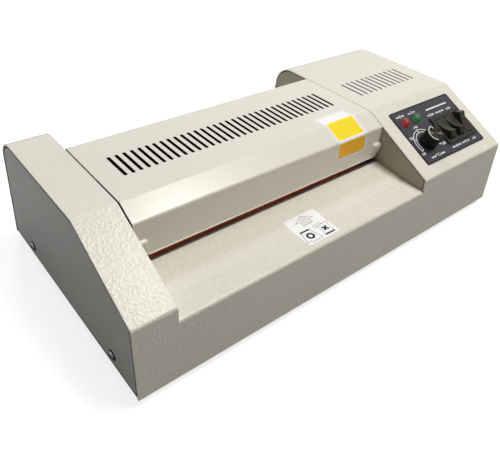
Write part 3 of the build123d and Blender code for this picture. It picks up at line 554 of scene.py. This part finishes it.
def folded_path(corners, radius):
    """Straight and round stretches (start, heading, turn, length) through corners (y, z)."""
    points = [Vector(c) for c in corners]
    headings = [math.atan2(b.y - a.y, b.x - a.x) for a, b in zip(points, points[1:])]
    path = []
    place = points[0]
    for i, heading in enumerate(headings):
        forward = Vector((math.cos(heading), math.sin(heading)))
        turn = headings[i + 1] - heading if i + 1 < len(headings) else 0.0
        setback = radius * math.tan(abs(turn) / 2)
        end = points[i + 1] - setback * forward
        path.append((tuple(place), heading, 0.0, (end - place).length))
        if turn:
            path.append((tuple(end), heading, turn, radius * abs(turn)))
            place = points[i + 1] + setback * Vector((math.cos(headings[i + 1]), math.sin(headings[i + 1])))
    return path


def slope_height(y):
    return front_height + y * math.tan(slope_angle)


# Flat drawings: meshes in (u, v, h), cut where the surface bends and then laid on it

def polygon(mesh, points, low=0.0, high=INK):
    """A prism over an outline."""
    under = [mesh.verts.new((u, v, low)) for u, v in points]
    over = [mesh.verts.new((u, v, high)) for u, v in points]
    mesh.faces.new(list(reversed(under)))
    mesh.faces.new(over)
    for i, vert in enumerate(under):
        after = (i + 1) % len(under)
        mesh.faces.new((vert, under[after], over[after], over[i]))


def rounded(left, right, low, high, radius):
    """The outline of a rectangle with round corners."""
    steps = 6
    middles = [
        (right - radius, high - radius), (left + radius, high - radius),
        (left + radius, low + radius), (right - radius, low + radius),
    ]
    points = []
    for corner, (u, v) in enumerate(middles):
        for i in range(steps + 1):
            angle = QUARTER * (corner + i / steps)
            points.append((u + radius * math.cos(angle), v + radius * math.sin(angle)))
    return points


def band(mesh, outer, inner, low=0.0, high=INK):
    """A closed band between two outlines with as many points each."""
    rings = [
        [mesh.verts.new((u, v, h)) for u, v in outline]
        for outline in (outer, inner) for h in (low, high)
    ]
    outer_low, outer_high, inner_low, inner_high = rings
    count = len(outer)
    for i in range(count):
        j = (i + 1) % count
        mesh.faces.new((outer_high[i], outer_high[j], inner_high[j], inner_high[i]))
        mesh.faces.new((outer_low[j], outer_low[i], inner_low[i], inner_low[j]))
        mesh.faces.new((outer_low[i], outer_low[j], outer_high[j], outer_high[i]))
        mesh.faces.new((inner_low[j], inner_low[i], inner_high[i], inner_high[j]))


def arc_band(mesh, centre, radius, width, start, end, steps=40):
    """Part of a ring, between two angles in degrees."""
    angles = [math.radians(start + (end - start) * i / steps) for i in range(steps + 1)]
    outline = []
    for reach, order in ((radius + width / 2, angles), (radius - width / 2, reversed(angles))):
        outline += [(centre[0] + reach * math.cos(a), centre[1] + reach * math.sin(a)) for a in order]
    polygon(mesh, outline)


def ring(mesh, centre, radius, width):
    """A whole ring."""
    steps = 40
    angles = [2 * math.pi * i / steps for i in range(steps)]
    outer, inner = (
        [(centre[0] + r * math.cos(a), centre[1] + r * math.sin(a)) for a in angles]
        for r in (radius + width / 2, radius - width / 2)
    )
    band(mesh, outer, inner)


def line(mesh, start, end, width, high=INK):
    """A straight stroke."""
    a, b = Vector(start), Vector(end)
    side = (b - a).normalized().orthogonal() * width / 2
    polygon(mesh, [tuple(p) for p in (a - side, b - side, b + side, a + side)], high=high)


def outline(mesh, corners, width):
    """A closed line through corners."""
    for start, end in zip(corners, corners[1:] + corners[:1]):
        line(mesh, start, end, width)


def evaluated(item):
    """A new mesh of an object as it is drawn."""
    graph = bpy.context.evaluated_depsgraph_get()
    return bpy.data.meshes.new_from_object(item.evaluated_get(graph))


def text(mesh, words, centre, size, weight, wide):
    """Letters or numbers centred on a point, size their height, drawn wide by a factor."""
    capital = 0.72  # the height of a capital in the font, as a share of its size
    curve = bpy.data.curves.new("text", "FONT")
    curve.body = words
    curve.align_x = "CENTER"
    curve.align_y = "CENTER"
    curve.size = size / capital
    curve.offset = weight
    curve.resolution_u = 3
    curve.extrude = INK / 2
    holder = bpy.data.objects.new("text", curve)
    bpy.context.collection.objects.link(holder)
    bpy.context.view_layer.update()
    letters = evaluated(holder)
    place = Matrix.Translation((*centre, INK / 2))
    letters.transform(place @ Matrix.Diagonal((wide, 1, 1, 1)))
    mesh.from_mesh(letters)
    bpy.data.objects.remove(holder)
    bpy.data.meshes.remove(letters)
    bpy.data.curves.remove(curve)


def laid(name, mesh, surface, lift, material, body="cabinet", slot="panel_film", cuts=()):
    """Lays a drawing on a surface, cut at each v of cuts first, and rides it on a body."""
    bmesh.ops.remove_doubles(mesh, verts=mesh.verts, dist=1e-5)
    for v in cuts:
        everything = mesh.verts[:] + mesh.edges[:] + mesh.faces[:]
        bmesh.ops.bisect_plane(mesh, geom=everything, plane_co=(0, v, 0), plane_no=(0, 1, 0))
    bmesh.ops.recalc_face_normals(mesh, faces=mesh.faces)
    for vert in mesh.verts:
        u, v, h = vert.co
        vert.co = surface(u, v, h + lift)
    return finished(name, mesh, material, body, slot)


def finished(name, mesh, material, body, slot, place=Matrix()):
    """Turns a mesh in metres into a piece that rides on a body."""
    data = bpy.data.meshes.new(name)
    mesh.to_mesh(data)
    mesh.free()
    data.materials.append(material)
    piece = bpy.data.objects.new(name, data)
    piece.matrix_world = place
    bpy.context.collection.objects.link(piece)
    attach(piece, body)
    return piece


# Turned pieces: a profile of (radius, height) in millimetres about the piece's own Z axis

def turned(name, profile, material, body, slot, place, steps=64):
    mesh = bmesh.new()
    angles = [2 * math.pi * i / steps for i in range(steps)]
    rings = [
        [mesh.verts.new((r * MM * math.cos(a), r * MM * math.sin(a), h * MM)) for a in angles]
        for r, h in profile
    ]
    for below, above in zip(rings, rings[1:]):
        for i in range(steps):
            j = (i + 1) % steps
            mesh.faces.new((below[i], below[j], above[j], above[i]))
    bmesh.ops.remove_doubles(mesh, verts=mesh.verts, dist=1e-7)
    bmesh.ops.recalc_face_normals(mesh, faces=mesh.faces)
    for face in mesh.faces:
        face.smooth = True
    return finished(name, mesh, material, body, slot, place)


def dome(radius, low, rise):
    """A profile from a rim at a height up over the cap of a ball."""
    steps = 9
    ball = (radius ** 2 + rise ** 2) / (2 * rise)
    spread = math.asin(radius / ball) if rise < radius else math.pi - math.asin(radius / ball)
    angles = [spread * (1 - i / steps) for i in range(steps + 1)]
    return [(ball * math.sin(a), low + rise - ball * (1 - math.cos(a))) for a in angles]


def off_slope(x, s, h):
    """Own axes at a point on the slope: X to the right, Y up it and Z off it."""
    turn = Matrix.Rotation(slope_angle, 4, "X")
    return Matrix.Translation(on_slope(x, s, h)) @ turn


def make_lamps():
    """Domed lenses on a shallow rim with a rounded edge."""
    edge, rim, stem = 4.75, 0.9, 3.45
    profile = [(0, -14), (stem, -14), (stem, 0), (edge - 0.05, 0), (edge, 0.05), (edge, rim - 0.25),
               (edge - 0.07, rim - 0.07), (edge - 0.25, rim)]
    profile += dome(edge - 0.3, rim, 4.3)
    for x, node, slot, material in (
        (lamp_xs[0], "power_lamp", "red_lens", red_lens),
        (lamp_xs[1], "ready_lamp", "green_lens", green_lens),
    ):
        place = off_slope(x, lamp_s, panel_sheet)
        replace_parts(turned(f"{node}_lens", profile, material, "cabinet", slot, place), node)


def make_knob_cap():
    """A thin disc with a rolled edge and a shallow dish."""
    r, top = knob_cap_radius, knob_cap_sheet
    profile = [(0, 0), (r - 0.05, 0), (r, 0.05), (r, top - 0.2), (r - 0.06, top - 0.06), (r - 0.2, top),
               (r - 0.5, top), (r - 0.7, top - 0.04), (0.6, top - 0.14), (0.4, top - 0.1), (0, top - 0.1)]
    place = off_slope(*knob_centre, knob_top - knob_cap_sheet)
    piece = turned("knob_cap_disc", profile, cap_metal, "knob", "aluminium", place)
    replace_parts(piece, "knob_cap")


def cross_recess(mesh_data):
    """Cuts a cross recess in a screw's head."""
    cutter = bmesh.new()
    long, short, low, high, taper = 2.1, 0.42, 0.95, 2.4, 0.6
    for wide, narrow in ((long, short), (short, long)):
        over = [(-wide, -narrow), (wide, -narrow), (wide, narrow), (-wide, narrow)]
        verts = [cutter.verts.new((x * taper * MM, y * taper * MM, low * MM)) for x, y in over]
        verts += [cutter.verts.new((x * MM, y * MM, high * MM)) for x, y in over]
        faces = [(3, 2, 1, 0), (4, 5, 6, 7)] + [(i, (i + 1) % 4, (i + 1) % 4 + 4, i + 4) for i in range(4)]
        for face in faces:
            cutter.faces.new([verts[i] for i in face])
    tool_data = bpy.data.meshes.new("cross")
    cutter.to_mesh(tool_data)
    cutter.free()
    head, tool = bpy.data.objects.new("head", mesh_data), bpy.data.objects.new("cross", tool_data)
    for item in (head, tool):
        bpy.context.collection.objects.link(item)
    cut = head.modifiers.new("cut", "BOOLEAN")
    cut.object, cut.operation, cut.solver, cut.use_self = tool, "DIFFERENCE", "EXACT", True
    bpy.context.view_layer.update()
    made = evaluated(head)
    for item in (head, tool):
        bpy.data.objects.remove(item)
    bpy.data.meshes.remove(tool_data)
    return made


def make_screws():
    """Pan heads with a cross recess on black rings of painted shade, at the foot of each end plate."""
    profile = [(0, -6), (1.2, -6), (1.7, -5.5), (1.7, 0.48), (3.1, 0.48), (3.2, 0.58),
               (3.15, 0.85), (2.9, 1.2), (2.45, 1.5), (1.9, 1.7), (1.2, 1.83), (0.6, 1.87), (0, 1.88)]
    shade_ring = [(1.8, 0), (4.0, 0), (4.1, 0.08), (4.1, 0.36), (4.0, 0.46), (1.8, 0.46), (1.8, 0)]
    for side, name in ((-1, "left"), (1, "right")):
        for y, end in zip(screw_ys, ("front", "back")):
            place = Matrix.Translation(at(side * plate_face, y, screw_z))
            turn = y  # any angle will do, as long as front and back differ
            place = place @ Matrix.Rotation(side * QUARTER, 4, "Y") @ Matrix.Rotation(turn, 4, "Z")
            # painted shade: a black ring round each head
            turned(f"{name}_{end}_washer", shade_ring, screw_shade_black, "cabinet", "black_screw", place, 40)
            piece = turned(f"{name}_{end}_screw", profile, screw_steel, "cabinet", "black_screw", place, 40)
            plain, piece.data = piece.data, cross_recess(piece.data)
            bpy.data.meshes.remove(plain)
            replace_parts(piece, "casing_screws")


# Pieces of one section along x: strips, and black strips and a dark baffle of painted shade

def swept(name, points, left, right, material, body, slot):
    """An outline of (y, z) on the casing, drawn from left to right."""
    mesh = bmesh.new()
    ends = [[mesh.verts.new(at(x, y, z)) for y, z in points] for x in (left, right)]
    mesh.faces.new(ends[0])
    mesh.faces.new(ends[1])
    for i, vert in enumerate(ends[0]):
        j = (i + 1) % len(points)
        mesh.faces.new((vert, ends[0][j], ends[1][j], ends[1][i]))
    bmesh.ops.recalc_face_normals(mesh, faces=mesh.faces)
    return finished(name, mesh, material, body, slot)


def strip(path, low, high, start, end):
    """The section of a strip that follows a path from start to end, between two heights off it."""
    steps = sorted({start, end, *(v for v in bends(path) if start < v < end)})
    return [along(path, v, high) for v in steps] + [along(path, v, low) for v in reversed(steps)]


def make_cover_strips():
    """Black strips of painted shade in the gaps beside the cover, a dark baffle behind its vents that
    paints shade into them, and a hem at its front.
    """
    low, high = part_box("top_cover")
    left, right = low.x / MM, high.x / MM
    gap_shade_section = strip(label_path, -2.3, -0.3, 7.0, reach(label_path, 4) + 79.0)
    # painted shade: black strips in the gaps beside the cover
    swept("left_cover_gap_shade", gap_shade_section, left - 0.9, left - 0.02, gap_shade_black, "cover", "black_rubber")
    swept("right_cover_gap_shade", gap_shade_section, right + 0.02, right + 0.4, gap_shade_black, "cover", "black_rubber")
    under = case_height - 1.3
    baffle = folded_path([(125.0, 72.5), (128.0, 72.5), (128.0, under), (138.0, under)], 1.6)
    baffle_section = strip(baffle, -0.8, 0.0, 0.0, reach(baffle, len(baffle)))
    # painted shade: a dark sheet under the vents
    swept("vent_baffle", baffle_section, left + 2.2, right - 2.2, vent_shade_black, "cover", "dark_guide")
    radius, steps = 0.65, 14
    hem = []
    for i in range(steps):
        a = 2 * math.pi * i / steps
        hem.append((cover_front + 0.15 + radius * math.cos(a), cover_bottom + 0.75 + radius * math.sin(a)))
    swept("cover_hem", hem, left + 9.4, right - 9.4, cover_enamel, "cover", "cream_enamel")


def plate_rim(name, side):
    """The corners (y, z) of an end plate's outer face, in order, in millimetres on the casing."""
    mesh = bmesh.new()
    mesh.from_mesh(nodes[name].data)
    bmesh.ops.remove_doubles(mesh, verts=mesh.verts, dist=1e-6)
    reach = max(side * vert.co.x for vert in mesh.verts)
    outer = {face for face in mesh.faces if all(side * vert.co.x > reach - 1e-5 for vert in face.verts)}
    after = {}
    for face in outer:
        for loop in face.loops:
            if not any(other in outer for other in loop.edge.link_faces if other is not face):
                after[loop.vert] = loop.link_loop_next.vert
    start = max(after, key=lambda vert: vert.co.z)
    rim, vert = [start], after[start]
    while vert is not start:
        rim.append(vert)
        vert = after[vert]
    points = [section(vert.co) for vert in rim]
    mesh.free()
    return points if side > 0 else points[::-1]


def offset(points, distance):
    """A closed outline, its points in counter-clockwise order, moved outwards."""
    moved = []
    for i, point in enumerate(points):
        here, before, after = Vector(point), Vector(points[i - 1]), Vector(points[(i + 1) % len(points)])
        into, out = (here - before).normalized(), (after - here).normalized()
        normal = Vector((into.y + out.y, -into.x - out.x)).normalized()
        moved.append(tuple(here + normal * distance / max(0.5, normal.dot(Vector((into.y, -into.x))))))
    return moved


def make_catch(side, word):
    """A soft-edged cap that swells from the cover's front towards its top and its free side."""
    low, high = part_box(f"{word}_cover_catch")
    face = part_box("top_cover")[0].y
    root, width, height, depth = (low.x if side < 0 else high.x), 9.4 * MM, 11.2 * MM, 2.75 * MM
    soft, columns, rows = 3.0 * MM, 16, 18
    mesh = bmesh.new()
    grid = []
    for j in range(rows + 1):
        v = height * j / rows
        grid.append([])
        for i in range(columns + 1):
            u = width * i / columns
            corner = Vector((max(0.0, u - width + soft), max(0.0, v - height + soft)))
            edge = min(1.0, corner.length / soft)
            swell = math.sqrt(max(0.0, 1 - edge ** 2.4)) * min(1.0, 0.12 + 1.1 * v / height)
            if edge >= 1.0:
                corner.length = soft
                u, v_here = min(u, width - soft + corner.x), min(v, height - soft + corner.y)
            else:
                v_here = v
            place = (root - side * u, face + 0.05 * MM - depth * swell, low.z + v_here)
            grid[-1].append(mesh.verts.new(place))
    for j in range(rows):
        for i in range(columns):
            mesh.faces.new((grid[j][i], grid[j][i + 1], grid[j + 1][i + 1], grid[j + 1][i]))
    rim = grid[0] + [row[-1] for row in grid[1:]] + grid[-1][-2::-1] + [row[0] for row in grid[-2:0:-1]]
    behind = [mesh.verts.new((vert.co.x, face + 0.1 * MM, vert.co.z)) for vert in rim]
    for i, vert in enumerate(rim):
        j = (i + 1) % len(rim)
        mesh.faces.new((vert, behind[i], behind[j], rim[j]))
    mesh.faces.new(behind)
    bmesh.ops.remove_doubles(mesh, verts=mesh.verts, dist=1e-6)
    bmesh.ops.dissolve_degenerate(mesh, edges=mesh.edges, dist=1e-6)
    bmesh.ops.recalc_face_normals(mesh, faces=mesh.faces)
    for face_made in mesh.faces:
        face_made.smooth = len(face_made.verts) == 4
    piece = finished(f"{word}_catch_cap", mesh, cover_enamel, "cover", "cream_enamel")
    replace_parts(piece, f"{word}_cover_catch")


def make_infeed_lip():
    """The grey lip between the shelf's edge and the lower roller, under the feed slot."""
    low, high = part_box("infeed_guide_strip")
    rear, top = section(high)
    front, rear = rear - 5.4, rear - 2.2
    points = [(front, top), (front, top + 1.7), (front + 0.4, top + 1.9), (rear - 0.4, top + 1.9),
              (rear, top + 1.6), (rear, top)]
    swept("infeed_lip", points, low.x / MM, high.x / MM, baked_coating(), "cabinet", "zinc_plate")


def make_plate_gap_shade():
    """Painted shade in the gap round each end plate: a black band that fills the gap and laps a little over
    its face.
    """
    for side, word in ((-1, "left"), (1, "right")):
        rim = plate_rim(f"{word}_end_plate", side)
        mesh = bmesh.new()
        band(mesh, offset(rim, 0.85), offset(rim, 0.03), -1.3, 0.1)
        band(mesh, offset(rim, 0.85), offset(rim, -0.3), 0.02, 0.12)
        bmesh.ops.recalc_face_normals(mesh, faces=mesh.faces)
        for vert in mesh.verts:
            y, z, h = vert.co
            vert.co = at(side * (plate_face + h), y, z)
        # painted shade round the end plate
        finished(f"{word}_plate_gap_shade", mesh, gap_shade_black, "cabinet", "black_rubber")


# Control panel

dial_radii = (14.1, 11.4)
dial_start, dial_end = 204.0, 50.0
dial_numbers = {"100": (98.0, 21.9), "120": (97.7, 39.6), "140": (111.8, 48.0),
                "160": (129.2, 40.6), "180": (128.4, 23.4)}


def make_panel_border():
    """The dark line round the panel's edge, painted shade of the recess it sits in."""
    left, right, low, high = panel_box
    width = 1.4
    mesh = bmesh.new()
    band(mesh, rounded(left, right, low, high, panel_corner),
         rounded(left + width, right - width, low + width, high - width, panel_corner - width))
    laid("panel_border", mesh, on_slope, panel_sheet, panel_edge_shade)


def make_dial():
    """Two arcs around the knob with ticks, and the numbers at their ends."""
    mesh = bmesh.new()
    for radius in dial_radii:
        arc_band(mesh, knob_centre, radius, 0.7, dial_start, dial_end)
    outer, inner = dial_radii
    for angle, start, end, width in (
        (dial_start, inner - 0.3, outer + 0.6, 0.8), (153, inner, outer + 0.5, 0.8),
        (95, inner, outer + 0.9, 0.8), (dial_end, inner, outer, 0.7), (-27, outer - 1.9, outer + 0.4, 1.3),
    ):
        a = math.radians(angle)
        ends = [(knob_centre[0] + r * math.cos(a), knob_centre[1] + r * math.sin(a)) for r in (start, end)]
        line(mesh, *ends, width)
    for words, centre in dial_numbers.items():
        text(mesh, words, centre, 2.4, 0.08, 1.2 if centre[0] > 100 else 1.05)
    flanked(mesh, 112.6, 15.8, 19.0, lambda u, v: text(mesh, "°C", (u, v), 2.8, 0.09, 1.2), 6.2)
    laid("dial_print", mesh, on_slope, panel_sheet, white_ink)


def flanked(mesh, u, v, width, mark, gap=4.4):
    """A mark between two short bars, together as wide as asked."""
    mark(u, v)
    for side in (-1, 1):
        line(mesh, (u + side * gap / 2, v), (u + side * width / 2, v), 1.3)


def power_mark(mesh, u, v, size):
    """The ring and stroke that stand for power."""
    arc_band(mesh, (u, v), size / 2, size / 4, 130, 410, steps=24)
    line(mesh, (u, v), (u, v + size * 0.65), size / 4)


def ready_mark(mesh, u, v, size):
    """A plain tick."""
    line(mesh, (u - size / 2, v), (u - size / 6, v - size / 2.6), size / 4)
    line(mesh, (u - size / 5, v - size / 2.6), (u + size / 2, v + size / 2), size / 4, high=INK - 0.01)


def heat_mark(mesh, u, v, size):
    """Three waves rising."""
    for i in (-1, 0, 1):
        x = u + i * size / 2.4
        arc_band(mesh, (x - size / 5, v + size / 4), size / 3, size / 5.5, -50, 50, steps=8)
        arc_band(mesh, (x + size / 5, v - size / 4), size / 3, size / 5.5, 130, 230, steps=8)


def cold_mark(mesh, u, v, size):
    """A six-pointed star of strokes."""
    for i in range(3):
        a = math.radians(30 + 60 * i)
        across, up = size / 2 * math.cos(a), size / 2 * math.sin(a)
        line(mesh, (u - across, v - up), (u + across, v + up), size / 5, high=INK - 0.01 * i)


def arrow_mark(mesh, u, v, size, up):
    polygon(mesh, [(u - size / 2, v - up * size / 3), (u + size / 2, v - up * size / 3),
                   (u, v + up * size / 2)][::1 if up > 0 else -1])


def make_panel_marks():
    """Generic marks at the lamps and the switches, which ends are ON and OFF, and a plain rule."""
    mesh = bmesh.new()
    above, below = 53.7, 16.3
    flanked(mesh, 104.6, 63.0, 10.6, lambda u, v: power_mark(mesh, u, v, 2.6))
    flanked(mesh, 120.1, 62.8, 9.6, lambda u, v: ready_mark(mesh, u, v, 2.8))
    flanked(mesh, 140.4, above, 9.2, lambda u, v: heat_mark(mesh, u, v, 2.8))
    flanked(mesh, 153.6, above, 11.6, lambda u, v: arrow_mark(mesh, u, v, 3.0, 1))
    text(mesh, "ON", (167.0, above - 0.4), 2.2, 0.08, 1.4)
    flanked(mesh, 141.2, below, 13.0, lambda u, v: cold_mark(mesh, u, v, 3.0))
    flanked(mesh, 155.2, below, 10.5, lambda u, v: arrow_mark(mesh, u, v, 3.0, -1))
    text(mesh, "OFF", (167.9, below - 0.6), 2.1, 0.07, 1.1)
    line(mesh, (139.0, 59.8), (170.0, 59.8), 1.5)
    laid("panel_marks", mesh, on_slope, panel_sheet, white_ink)


def make_knob_line():
    """The white line round the knob's rim, ending in a pointer."""
    mesh = bmesh.new()
    start, end = 86.0, 246.0
    arc_band(mesh, (0, 0), 7.35, 0.75, start, end)
    tip = math.radians(start)
    line(mesh, (7.7 * math.cos(tip), 7.7 * math.sin(tip)), (0.9, 5.0), 0.8, high=INK + 0.01)
    laid("knob_line", mesh, on_knob, 0.0, white_ink, "knob", "dark_plastic")


make_lamps()
make_knob_cap()
make_screws()
make_panel_border()
make_dial()
make_panel_marks()
make_knob_line()


# Stickers

shelf_path = folded_path([(0.0, shelf_height), (shelf_level, shelf_height),
                          (shelf_level + 32.0, shelf_height + 32.0 * math.tan(shelf_angle))], 12.0)
label_path = folded_path([(cover_front, 60.0), (cover_front, slope_height(cover_front)),
                          (slope_run, case_height), (120.0, case_height)], cover_bend)


def on_shelf(u, v, h):
    y, z = along(shelf_path, v, h)
    return at(u, y, z)


def on_cover(u, v, h):
    """Up the cover's front, over both bends and back along its top."""
    y, z = along(label_path, v, h)
    return at(u, y, z)


def reach(path, count):
    """The length of a path's first stretches."""
    return sum(length for _, _, _, length in path[:count])


def bends(path):
    """Where a drawing is cut to follow a path: through its round stretches."""
    steps = 5
    cuts, v = [], 0.0
    for _, _, turn, length in path:
        if turn:
            cuts += [v + length * i / steps for i in range(steps + 1)]
        v += length
    return cuts


def make_feed_sticker():
    """Where the pouch goes in, and which way round."""
    left, right, low, high = -48.0, -16.2, 5.0, 36.4
    film = bmesh.new()
    polygon(film, rounded(left, right, low, high, 2.6), 0.0, FILM)
    cuts = bends(shelf_path)
    laid("feed_sticker", film, on_shelf, 0.03, white_vinyl, slot="cream_enamel", cuts=cuts)

    pale = bmesh.new()
    u, shaft, head, top, middle, foot = -31.8, 4.6, 8.9, 34.6, 29.2, 24.7
    arrow = [(u - shaft, foot), (u + shaft, foot), (u + shaft, middle), (u + head, middle),
             (u, top), (u - head, middle), (u - shaft, middle)]
    outline(pale, arrow, 0.5)
    for i in range(1, 10):
        x = u - shaft + 2 * shaft * i / 10
        line(pale, (x, foot), (x, top - (top - middle) * abs(x - u) / head), 0.28, high=INK - 0.01)
    sheets = (
        [(-44.6, 19.4), (-45.6, 13.0), (-47.2, 8.0), (-43.2, 8.7), (-42.5, 6.8), (-32.5, 7.2),
         (-34.4, 13.0), (-35.6, 19.4)],
        [(-29.2, 8.4), (-28.0, 14.2), (-28.3, 18.9), (-17.6, 20.0), (-19.4, 14.6), (-19.7, 8.4)],
        [(-28.3, 18.9), (-30.2, 18.6), (-30.6, 21.2), (-23.4, 21.6), (-22.8, 19.6)],
    )
    for corners in sheets:
        outline(pale, corners, 0.5)
    laid("feed_sticker_outlines", pale, on_shelf, 0.03 + FILM, grey_ink, slot="cream_enamel", cuts=cuts)

    bold = bmesh.new()
    ring(bold, (-39.7, 13.3), 2.6, 1.8)
    u, v, arm = -24.0, 13.9, 3.0
    for turn in (45, -45):
        across, up = arm * math.cos(math.radians(turn)), arm * math.sin(math.radians(turn))
        line(bold, (u - across, v - up), (u + across, v + up), 1.7, high=INK + 0.005 * (turn > 0))
    line(bold, (-44.6, 19.8), (-35.4, 19.8), 1.5)
    line(bold, (-29.2, 7.8), (-19.7, 7.8), 1.5)
    laid("feed_sticker_marks", bold, on_shelf, 0.035 + FILM, black_ink, slot="cream_enamel", cuts=cuts)


def make_cover_label():
    """A folded label of plain blocks over the cover's two bends."""
    left, right = 24.7, 59.6
    bend = reach(label_path, 2)
    low, high = 12.5, reach(label_path, 4) + 13.5
    cuts = bends(label_path)
    film = bmesh.new()
    polygon(film, rounded(left, right, low, high, 1.2), 0.0, FILM)
    laid("cover_label", film, on_cover, 0.03, white_vinyl, "cover", "cream_enamel", cuts)
    for name, material, box in (
        ("cover_label_amber", amber_ink, (left + 1.7, right - 1.7, low + 1.7, bend - 2.6)),
        ("cover_label_yellow", yellow_ink, (left + 2.4, right - 2.4, bend + 0.3, bend + 19.5)),
    ):
        block = bmesh.new()
        polygon(block, rounded(*box, 0.9))
        laid(name, block, on_cover, 0.03 + FILM, material, "cover", "cream_enamel", cuts)
    border = bmesh.new()
    band(border, rounded(left + 1.0, right - 1.0, low + 1.0, high - 1.2, 1.6),
         rounded(left + 1.45, right - 1.45, low + 1.45, high - 1.65, 1.3))
    laid("cover_label_line", border, on_cover, 0.02 + FILM, line_ink, "cover", "cream_enamel", cuts)


make_feed_sticker()
make_cover_label()
make_cover_strips()
make_catch(-1, "left")
make_catch(1, "right")
make_infeed_lip()
make_plate_gap_shade()


# Stage and light

def make_floor():
    """A pale floor that keeps the shadow and is white to the camera."""
    mesh = bmesh.new()
    bmesh.ops.create_grid(mesh, x_segments=1, y_segments=1, size=12.0)
    data = bpy.data.meshes.new("floor")
    mesh.to_mesh(data)
    mesh.free()
    floor = bpy.data.objects.new("floor", data)
    bpy.context.collection.objects.link(floor)
    floor.location.z = -0.0002
    material = bpy.data.materials.new("floor")
    material.use_nodes = True
    tree = material.node_tree
    shader = tree.nodes["Principled BSDF"]
    shader.inputs["Base Color"].default_value = (0.40, 0.395, 0.385, 1)
    shader.inputs["Roughness"].default_value = 0.9
    shader.inputs["Emission Color"].default_value = (1, 1, 1, 1)
    rays = tree.nodes.new("ShaderNodeLightPath")
    seen = tree.nodes.new("ShaderNodeMath")
    seen.operation = "MULTIPLY"
    seen.inputs[1].default_value = 0.78
    tree.links.new(rays.outputs["Is Camera Ray"], seen.inputs[0])
    tree.links.new(seen.outputs[0], shader.inputs["Emission Strength"])
    data.materials.append(material)


def make_world():
    """Dim warm light all round, but white where the camera or a reflection looks at it."""
    world = bpy.data.worlds.new("world")
    bpy.context.scene.world = world
    world.use_nodes = True
    tree = world.node_tree
    around = tree.nodes["Background"]
    around.inputs["Color"].default_value = (1.0, 0.96, 0.88, 1)
    around.inputs["Strength"].default_value = 0.02
    white = tree.nodes.new("ShaderNodeBackground")
    white.inputs["Color"].default_value = (1, 1, 1, 1)
    rays = tree.nodes.new("ShaderNodeLightPath")
    seen = rays.outputs["Is Camera Ray"]
    for ray in ("Is Glossy Ray", "Is Transmission Ray"):
        either = tree.nodes.new("ShaderNodeMath")
        either.operation = "MAXIMUM"
        tree.links.new(seen, either.inputs[0])
        tree.links.new(rays.outputs[ray], either.inputs[1])
        seen = either.outputs[0]
    mix = tree.nodes.new("ShaderNodeMixShader")
    tree.links.new(seen, mix.inputs[0])
    tree.links.new(around.outputs[0], mix.inputs[1])
    tree.links.new(white.outputs[0], mix.inputs[2])
    tree.links.new(mix.outputs[0], tree.nodes["World Output"].inputs["Surface"])


def area_light(name, place, size, power, color=(1, 1, 1)):
    """A soft lamp turned to the machine."""
    data = bpy.data.lights.new(name, "AREA")
    data.color = color
    data.shape = "RECTANGLE"
    data.size, data.size_y = size
    data.energy = power
    light = bpy.data.objects.new(name, data)
    light.location = place
    aim = Vector((0.0, 0.0, 0.05)) - Vector(place)
    light.rotation_euler = aim.to_track_quat("-Z", "Y").to_euler()
    bpy.context.collection.objects.link(light)


make_floor()
make_world()
area_light("soft_right", (0.34, -0.32, 1.3), (0.5, 0.3), 9.2)
area_light("low_right", (0.38, -0.66, 1.05), (0.4, 0.3), 1.8)
area_light("soft_middle", (0.0, 0.0, 1.3), (1.0, 0.8), 2.7, (1.0, 0.98, 0.76))
area_light("back_light", (0.15, 0.75, 1.45), (0.25, 0.25), 5.0, (0.80, 0.85, 1.0))
area_light("front_fill", (0.0, -1.2, 0.6), (0.8, 0.5), 0.95, (1.0, 0.94, 0.80))
area_light("left_fill", (-1.2, 0.8, 0.4), (0.5, 0.5), 5.4)
